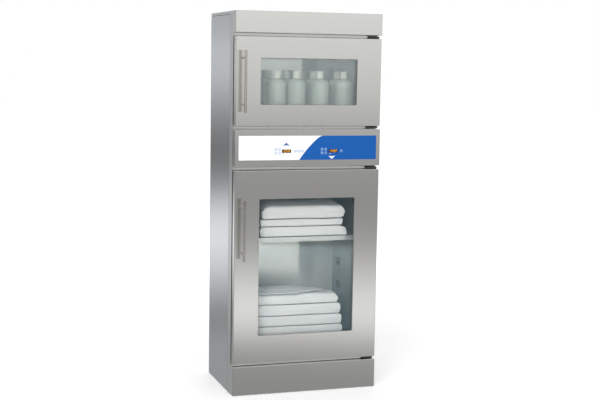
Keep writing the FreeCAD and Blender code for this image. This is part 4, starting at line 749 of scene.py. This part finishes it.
def rounded_line(corners, radii):
    """Points along straight runs joined by quarter turns, with the runs cut into short steps."""
    line = [Vector(corners[0])]
    for n in range(1, len(corners)):
        target = Vector(corners[n])
        before = Vector(corners[n - 1])
        along = (target - before).normalized()
        turning = n < len(corners) - 1
        radius = min(radii[n], (target - before).length * TURN_SHARE) if turning else 0.0
        stop = target - along * radius
        steps = max(1, int((stop - line[-1]).length / RUN_STEP))
        start = line[-1].copy()
        line += [start.lerp(stop, k / steps) for k in range(1, steps + 1)]
        if turning:
            onward = (Vector(corners[n + 1]) - target).normalized()
            centre = stop + onward * radius
            for k in range(1, CORNER_STEPS + 1):
                turn = math.pi / 2 * k / CORNER_STEPS
                line.append(centre - onward * radius * math.cos(turn) + along * radius * math.sin(turn))
    return line


def wound_line(half_depth, half_height, turns, free_edge, shoulder):
    """The blanket's section in (depth, height): turns wound outward, the last run on top.

    The shoulder is the least radius of the outermost fold's upper front corner.
    """
    pitch = half_height / turns
    corners = []
    radii = []
    for n in range(turns):
        height = (n + 0.5) * pitch
        reach = half_depth - (turns - 1 - n) * pitch
        front = -reach
        rear = reach - pitch * 0.5
        corners += [(rear, -height), (front, -height), (front, height)]
        if n < turns - 1:
            corners.append((rear, height))
        corner = max(LEAST_FOLD, height - FLAT_FRONT * half_height)
        radii += [corner, corner, max(corner, shoulder - (turns - 1 - n) * pitch)]
        if n < turns - 1:
            radii.append(corner)
    corners.append((-half_depth + 2 * half_depth * free_edge, (turns - 0.5) * pitch))
    radii.append(0.0)
    return rounded_line(corners, radii)


def ripple(x, y, seed, size):
    """Smooth noise between about -1 and 1, with waves of the given size."""
    return noise.noise(Vector((x / size, y / size, seed)))


def smoothstep(value):
    """A smooth rise from 0 to 1 as the value goes from 0 to 1."""
    value = min(1.0, max(0.0, value))
    return value * value * (3.0 - 2.0 * value)


def face_between(level, amount, seed, sag, pressed):
    """A nearly level face between two blankets, lower at the rear, as a height over x and y."""
    def height(x, y):
        waves = amount * ripple(x, y, seed, LONG_WAVE)
        waves += SHORT_SHARE * amount * ripple(x, y, seed + SHORT_SEED, SHORT_WAVE)
        return level + waves - sag * sagging(y) - pressed(x, y)
    return height


def sagging(y):
    """From 0 at the front of a pile to 1 at its rear."""
    return smoothstep((y - (FRONT_Y + SAG_START)) / SAG_RUN)


def blanket_points(low, high, below, above, style):
    """The corners of one sheet, section by section, and how many of them a section has."""
    half_depth = (high.y - low.y) / 2
    half_height = (high.z - low.z) / 2
    middle_y = (high.y + low.y) / 2
    line = wound_line(half_depth, half_height, style["turns"], style["free_edge"], style["shoulder"])
    seed = style["seed"]
    length = high.x - low.x
    points = []
    for n in range(STATIONS + 1):
        share = n / STATIONS
        share = share - math.sin(2 * math.pi * share) / (2 * math.pi) * CROWDING
        end_round = END_ROUND * 2 * half_height
        near_end = max(0.0, 1.0 - min(share, 1.0 - share) * length / end_round)
        pinch = END_PINCH * (1.0 - math.sqrt(1.0 - near_end * near_end))
        for depth, height in line:
            up = height / (2 * half_height) + 0.5
            drawn = 0.5 + (up - 0.5) * (1.0 - pinch)
            front = smoothstep(-depth / half_depth)
            right = style["right"](up) + END_WANDER * ripple(depth, up, seed + RIGHT_SEED, END_WAVE)
            right += style["corner"] * front ** 3
            left = style["left"](up) + END_WANDER * ripple(depth, up, seed + LEFT_SEED, END_WAVE)
            x = low.x + left + share * (length - left - right)
            y = middle_y + depth
            y += front * style["set_back"](x)
            y -= front * front * FRONT_WANDER * ripple(x, up * FRONT_SHIFT, seed + FRONT_SEED, FRONT_WAVE)
            floor = below(x, y) + CLOTH / 2 + CLOTH_ROOM
            roof = above(x, y) - CLOTH / 2 - CLOTH_ROOM
            z = floor + drawn * (roof - floor)
            points.append((x, y, z))
    return points, len(line)


def folded_blanket(name, low, high, below, above, style, body, replaced):
    """One sheet wound flat between the faces below and above it."""
    points, rows = blanket_points(low, high, below, above, style)
    faces = []
    for n in range(STATIONS):
        for k in range(rows - 1):
            a = n * rows + k
            faces.append((a, a + 1, a + rows + 1, a + rows))
    piece = mesh_piece(name, points, faces, smooth=True)
    thicken = piece.modifiers.new("cloth thickness", "SOLIDIFY")
    thicken.thickness = CLOTH
    thicken.offset = 0.0
    paint(piece, COTTON)
    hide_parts(replaced)
    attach(piece, body)


def straight(amount=0.0):
    return lambda up: amount


def bulging(amount, peak, low=0.0, high=0.0, nub=0.0):
    """How far the layers stop short of the end: least at the peak height, where a nub may stick out."""
    def short(up):
        beside_nub = nub * (1.0 - math.exp(-((up - peak) / NUB_HEIGHT) ** 2))
        if up < peak:
            return low * (1.0 - up / peak) ** LOW_CURVE + amount + beside_nub
        return high * ((up - peak) / (1.0 - peak)) ** HIGH_CURVE + amount + beside_nub
    return short


def level_face(level):
    return lambda x, y: level


def crowned(crown, top, below):
    """The top face of a pile, given its level and the face below its last blanket."""
    return lambda x, y: crown(x, y, top, below(x, y))


def lowered(face, sink):
    """A face lowered by an amount that changes along X."""
    return lambda x, y: face(x, y) - sink(x)


def blanket_pile(node_name, body, on, styles, crown, sag=0.0):
    """All blankets of a pile, one for each solid; where there is one style more, the last solid is split."""
    boxes = layers_of(node_name)
    if len(styles) > len(boxes):
        low, high = boxes.pop()
        middle = low.z + (high.z - low.z) * SPLIT_SHARE
        boxes.append((low, Vector((high.x, high.y, middle))))
        boxes.append((Vector((low.x, low.y, middle)), high))
    below = level_face(boxes[0][0].z)
    for number, ((low, high), style) in enumerate(zip(boxes, styles), start=1):
        if number == len(boxes):
            above = crowned(crown, high.z, below)
        else:
            above = face_between(high.z, style["waves"], style["seed"], sag * number, style["pressed"])
        style["on"] = on if number == 1 else f"{node_name}_{number - 1}"
        roof = lowered(above, style["sink"])
        folded_blanket(f"{node_name}_{number}", low, high, below, roof, style, body, node_name)
        below = above


def none_along(x):
    return 0.0


def not_pressed(x, y):
    return 0.0


def blanket_style(seed, turns, **changes):
    """What sets one blanket of a pile apart from a straight one.

    left and right give how far the layers stop short of each end, over the height; set_back moves the front
    edge and sink lowers the top, along X; pressed lowers the face above, over X and Y.
    """
    style = {"seed": seed, "turns": turns, "free_edge": 0.97, "left": straight(), "right": straight(),
             "set_back": none_along, "waves": 0.0036, "sink": none_along, "corner": 0.0,
             "pressed": not_pressed, "shoulder": 0.0}
    style.update(changes)
    return style


SHELF_LOW, SHELF_HIGH = layers_of("shelf_blankets")[0]
FLOOR_LOW = layers_of("floor_blankets")[0][0]

# The shelf pile's top: where its left end turns down and over what length, how far its right end runs on,
# and how deep its ends, its rise behind the front, its fall at the rear and its waves are
CROWN_LEFT = -0.215
CROWN_LEFT_RUN = 0.05
CROWN_RIGHT_OVER = 0.002
CROWN_RIGHT_RUN = 0.03
CROWN_END_DROP = 0.016
CROWN_RISE = 0.009
CROWN_RISE_START = 0.02
CROWN_RISE_RUN = 0.12
CROWN_FALL = 0.034
CROWN_FALL_START = 0.17
CROWN_FALL_RUN = 0.2
CROWN_WAVES = 0.003
CROWN_WAVE = 0.12
CROWN_SEED = 41.0
CROWN_BELOW_TOP = 0.003


def shelf_crown(x, y, top, under):
    """Rounded over: highest a hand's breadth behind the front, lower at the rear and at both ends."""
    left = smoothstep((x - CROWN_LEFT) / CROWN_LEFT_RUN)
    right = smoothstep((SHELF_HIGH.x + CROWN_RIGHT_OVER - x) / CROWN_RIGHT_RUN)
    drop = CROWN_END_DROP * (1.0 - left * right)
    rise = CROWN_RISE * smoothstep((y - SHELF_LOW.y - CROWN_RISE_START) / CROWN_RISE_RUN)
    fall = CROWN_FALL * smoothstep((y - SHELF_LOW.y - CROWN_FALL_START) / CROWN_FALL_RUN)
    waves = CROWN_WAVES * ripple(x, y, CROWN_SEED, CROWN_WAVE)
    return top - CROWN_BELOW_TOP - drop + rise - fall + waves


# The loose blanket on the floor pile: how thick it is at its edge and behind, where it gets thicker, and how
# far its front edge lies back at the left and at the right
LOOSE_THIN = 0.0082
LOOSE_THICK = 0.025
LOOSE_WAVES = 0.010
LOOSE_WAVE = 0.09
LOOSE_SEED = 43.0
LOOSE_RISE_START = 0.10
LOOSE_RISE_RUN = 0.12
LOOSE_RIGHT = 0.17
LOOSE_RIGHT_RUN = 0.13
LOOSE_BACK = 0.035
LOOSE_BACK_MORE = 0.075
LOOSE_BACK_START = -0.02
LOOSE_BACK_RUN = 0.2
LOOSE_BACK_WAVES = 0.014
LOOSE_BACK_WAVE = 0.08
LOOSE_BACK_SEED = 47.0
# How deep it presses the blanket below it, and where that starts ahead of its edge
PRESS = 0.0065
PRESS_AHEAD = 0.012
PRESS_RUN = 0.022


def floor_crown(x, y, top, under):
    """A loose last blanket: thin at its front edge and its right end, thicker behind."""
    rise = smoothstep((y - (FRONT_Y + LOOSE_RISE_START)) / LOOSE_RISE_RUN)
    side = smoothstep((LOOSE_RIGHT - x) / LOOSE_RIGHT_RUN)
    thick = LOOSE_THICK + LOOSE_WAVES * ripple(x, y, LOOSE_SEED, LOOSE_WAVE)
    return under + LOOSE_THIN + thick * rise * side


def loose_front(x):
    """How far the loose blanket's front edge lies behind the pile's."""
    more = LOOSE_BACK_MORE * smoothstep((x - LOOSE_BACK_START) / LOOSE_BACK_RUN)
    return LOOSE_BACK + more + LOOSE_BACK_WAVES * ripple(x, 0.0, LOOSE_BACK_SEED, LOOSE_BACK_WAVE)


def under_the_loose_one(x, y):
    """How far the loose blanket presses the one below it."""
    return PRESS * smoothstep((y - FLOOR_LOW.y - loose_front(x) + PRESS_AHEAD) / PRESS_RUN)


# The lowest blanket of the shelf pile sinks at its right end
END_SINK = 0.011
END_SINK_RUN = 0.045


def sunk_end(x):
    return END_SINK * smoothstep((x - (SHELF_HIGH.x - END_SINK_RUN)) / END_SINK_RUN)


SHELF_STYLES = [
    blanket_style(1.0, 5, right=bulging(0.005, 0.35, 0.001, 0.004), left=bulging(0.0, 0.5, 0.003, 0.003),
                  sink=sunk_end),
    blanket_style(2.0, 4, right=bulging(0.010, 0.55, 0.010, 0.002, 0.003), left=straight(-0.004)),
    blanket_style(3.0, 6, free_edge=0.9, right=bulging(0.010, 0.5, 0.004, 0.010, 0.006),
                  left=bulging(0.0, 0.5, 0.005, 0.010), shoulder=0.013),
]
FLOOR_STYLES = [
    blanket_style(11.0, 4, right=bulging(0.0, 0.5, 0.002, 0.003)),
    blanket_style(12.0, 4, right=bulging(0.0, 0.5, 0.003, 0.002)),
    blanket_style(13.0, 4, right=bulging(0.0, 0.4, 0.002, 0.003)),
    blanket_style(14.0, 5, right=bulging(0.0, 0.5, 0.002, 0.003)),
    blanket_style(15.0, 5, right=bulging(0.0, 0.5, 0.003, 0.003)),
    blanket_style(16.0, 5, free_edge=0.9, right=bulging(0.0, 0.5, 0.006, 0.018, 0.005), waves=0.010,
                  pressed=under_the_loose_one, shoulder=0.012),
    blanket_style(17.0, 1, free_edge=0.8, right=bulging(0.034, 0.2, 0.0, 0.004), set_back=loose_front,
                  corner=0.035),
]
blanket_pile("shelf_blankets", "shelf_and_blankets", "shelf", SHELF_STYLES, shelf_crown)
blanket_pile("floor_blankets", "cabinet", "floor_grilles", FLOOR_STYLES, floor_crown, FLOOR_SAG)


# Floor, backdrop, light and camera

def studio_floor():
    """A wide pale disc that fades to white and keeps the object's shadow."""
    points = [(x, y, 0.0) for x, y in round_outline(0.0, 0.0, FLOOR_RADIUS, FLOOR_SIDES)]
    piece = mesh_piece("studio_floor", points, [list(range(FLOOR_SIDES))])
    made, tree, shader = material("white_floor")
    seen = node(tree, "ShaderNodeLightPath").outputs["Is Camera Ray"]
    place = coordinates(tree)
    reach = node(tree, "ShaderNodeVectorMath", {0: place}, operation="LENGTH").outputs["Value"]
    link(tree, shader, Emission_Strength=maths(tree, "MULTIPLY", seen, spread(tree, reach, *FLOOR_LIFT)))
    fix(shader, Base_Color=(FLOOR_GREY, FLOOR_GREY, FLOOR_GREY, 1.0), Roughness=1.0,
        Emission_Color=(1.0, 1.0, 1.0, 1.0))
    paint(piece, made)
    piece.visible_glossy = False


# What the steel mirrors: (elevation in degrees, grey) in front of the cabinet and behind it
FRONT_BANDS = ((-30.0, 0.80), (-21.0, 0.72), (-16.6, 0.38), (-14.1, 0.41), (-13.5, 0.50), (-13.0, 0.72),
               (-12.4, 1.12), (-11.7, 1.26), (-11.1, 1.18), (-10.2, 0.94), (-9.3, 0.73), (-8.5, 0.55),
               (-7.3, 0.43), (-6.0, 0.43), (-4.6, 0.48), (-3.4, 0.59), (-2.3, 0.75), (-1.2, 0.87),
               (0.2, 0.96), (1.6, 1.04), (2.6, 1.12), (12.0, 1.0), (40.0, 0.9))
REAR_BANDS = ((-30.0, 0.82), (-21.0, 0.74), (-16.6, 0.44), (-13.2, 0.46), (-12.4, 0.38), (-11.7, 0.40),
              (-11.0, 0.55), (-10.1, 0.78), (-9.3, 0.98), (-8.5, 1.12), (-7.6, 1.08), (-6.6, 0.80),
              (-5.8, 0.48), (-4.9, 0.29), (-4.0, 0.25), (-3.2, 0.32), (-2.3, 0.44), (-1.4, 0.61),
              (-0.4, 0.76), (0.6, 0.78), (1.6, 0.64), (3.0, 0.58), (12.0, 0.8), (40.0, 0.9))
LOWEST = -30.0
HIGHEST = 40.0
# Half the width in Y over which the front bands turn into the rear ones
TURN_OVER = 0.25
BRIGHTEST = 1.3
WARM = (1.0, 1.0, 0.985)
COOL = (0.965, 0.985, 1.0)
# How bright the studio is round the object, as (share, brightness): the share is 0 at the left, along -X,
# and 1 at the right, along +X
ROUND_BANDS = ((0.0, 0.70), (0.06, 0.66), (0.09, 0.12), (0.13, 0.10), (0.17, 0.9), (0.30, 1.1), (0.36, 1.0),
               (0.84, 1.0), (0.87, 0.14), (0.91, 0.12), (0.94, 0.66), (1.0, 0.70))


def banded(tree, share, bands, tone):
    """Bands of grey over the elevation, scaled to fit a colour ramp."""
    stops = []
    for elevation, grey in bands:
        level = tuple(grey * part / BRIGHTEST for part in tone)
        stops.append(((elevation - LOWEST) / (HIGHEST - LOWEST), level))
    return ramp(tree, share, stops)


def studio_world():
    """White behind the object, soft even light, and a banded studio for mirrored rays."""
    world = bpy.data.worlds.new("studio")
    bpy.context.scene.world = world
    world.use_nodes = True
    tree = world.node_tree
    direction = node(tree, "ShaderNodeTexCoord").outputs["Generated"]
    parts = node(tree, "ShaderNodeSeparateXYZ", {0: direction}).outputs
    elevation = maths(tree, "MULTIPLY", maths(tree, "ARCSINE", parts["Z"]), 180.0 / math.pi)
    share = spread(tree, elevation, 0.0, 1.0, LOWEST, HIGHEST)
    front = banded(tree, share, FRONT_BANDS, WARM)
    rear = banded(tree, share, REAR_BANDS, COOL)
    behind = spread(tree, parts["Y"], 0.0, 1.0, -TURN_OVER, TURN_OVER)
    studio = node(tree, "ShaderNodeMix", {0: behind, 6: front, 7: rear}, data_type="RGBA").outputs[2]
    round_share = spread(tree, parts["X"], 0.0, 1.0, -1.0, 1.0)
    dim = ramp(tree, round_share, [(at, (level,) * 3) for at, level in ROUND_BANDS])
    around = node(tree, "ShaderNodeMix", {0: 1.0, 6: studio, 7: dim}, data_type="RGBA",
                  blend_type="MULTIPLY").outputs[2]
    path = node(tree, "ShaderNodeLightPath").outputs
    soft = node(tree, "ShaderNodeBackground", {"Color": (1, 1, 1, 1), "Strength": SOFT_LIGHT})
    mirrored = node(tree, "ShaderNodeBackground", {"Color": around, "Strength": BRIGHTEST})
    white = node(tree, "ShaderNodeBackground", {"Color": (1, 1, 1, 1), "Strength": 1.0})
    reflected = maths(tree, "GREATER_THAN", path["Glossy Depth"], 0.5)
    direct = maths(tree, "SUBTRACT", 1.0, reflected)
    through = maths(tree, "MULTIPLY", path["Is Transmission Ray"], direct)
    from_glass = maths(tree, "MULTIPLY", path["Is Transmission Ray"], reflected)
    glossy = maths(tree, "MAXIMUM", path["Is Glossy Ray"], from_glass)
    lit = node(tree, "ShaderNodeMixShader", {0: glossy, 1: soft.outputs[0], 2: mirrored.outputs[0]})
    seen = maths(tree, "MAXIMUM", path["Is Camera Ray"], through)
    out = node(tree, "ShaderNodeMixShader", {0: seen, 1: lit.outputs[0], 2: white.outputs[0]})
    tree.links.new(out.outputs[0], tree.nodes["World Output"].inputs["Surface"])


def lamp(name, place, size, power):
    """A soft round lamp aimed at the middle of the object, neither seen nor mirrored."""
    data = bpy.data.lights.new(name, "AREA")
    data.shape = "DISK"
    data.size = size
    data.energy = power
    light = bpy.data.objects.new(name, data)
    bpy.context.scene.collection.objects.link(light)
    light.location = place
    aim = Vector(LIGHT_AIM) - Vector(place)
    light.rotation_euler = aim.to_track_quat("-Z", "Y").to_euler()
    light.visible_glossy = False
    light.visible_transmission = False
    light.visible_camera = False


def studio_camera():
    data = bpy.data.cameras.new("camera")
    data.lens = CAMERA_LENS
    data.sensor_width = SENSOR_WIDTH
    camera = bpy.data.objects.new("camera", data)
    bpy.context.scene.collection.objects.link(camera)
    yaw = Matrix.Rotation(math.radians(CAMERA_YAW), 3, "Z")
    pitch = Matrix.Rotation(math.radians(CAMERA_PITCH), 3, "X")
    roll = Matrix.Rotation(math.radians(CAMERA_ROLL), 3, "Y")
    level = Matrix.Rotation(math.radians(90.0), 3, "X")
    look = yaw @ pitch @ roll @ level
    camera.matrix_world = Matrix.Translation(CAMERA_PLACE) @ look.to_4x4()
    bpy.context.scene.camera = camera


studio_floor()
studio_world()
lamp("key_light", *KEY_LIGHT)
lamp("fill_light", *FILL_LIGHT)
lamp("rear_light", *REAR_LIGHT)
studio_camera()
bpy.context.scene.view_settings.view_transform = "Standard"
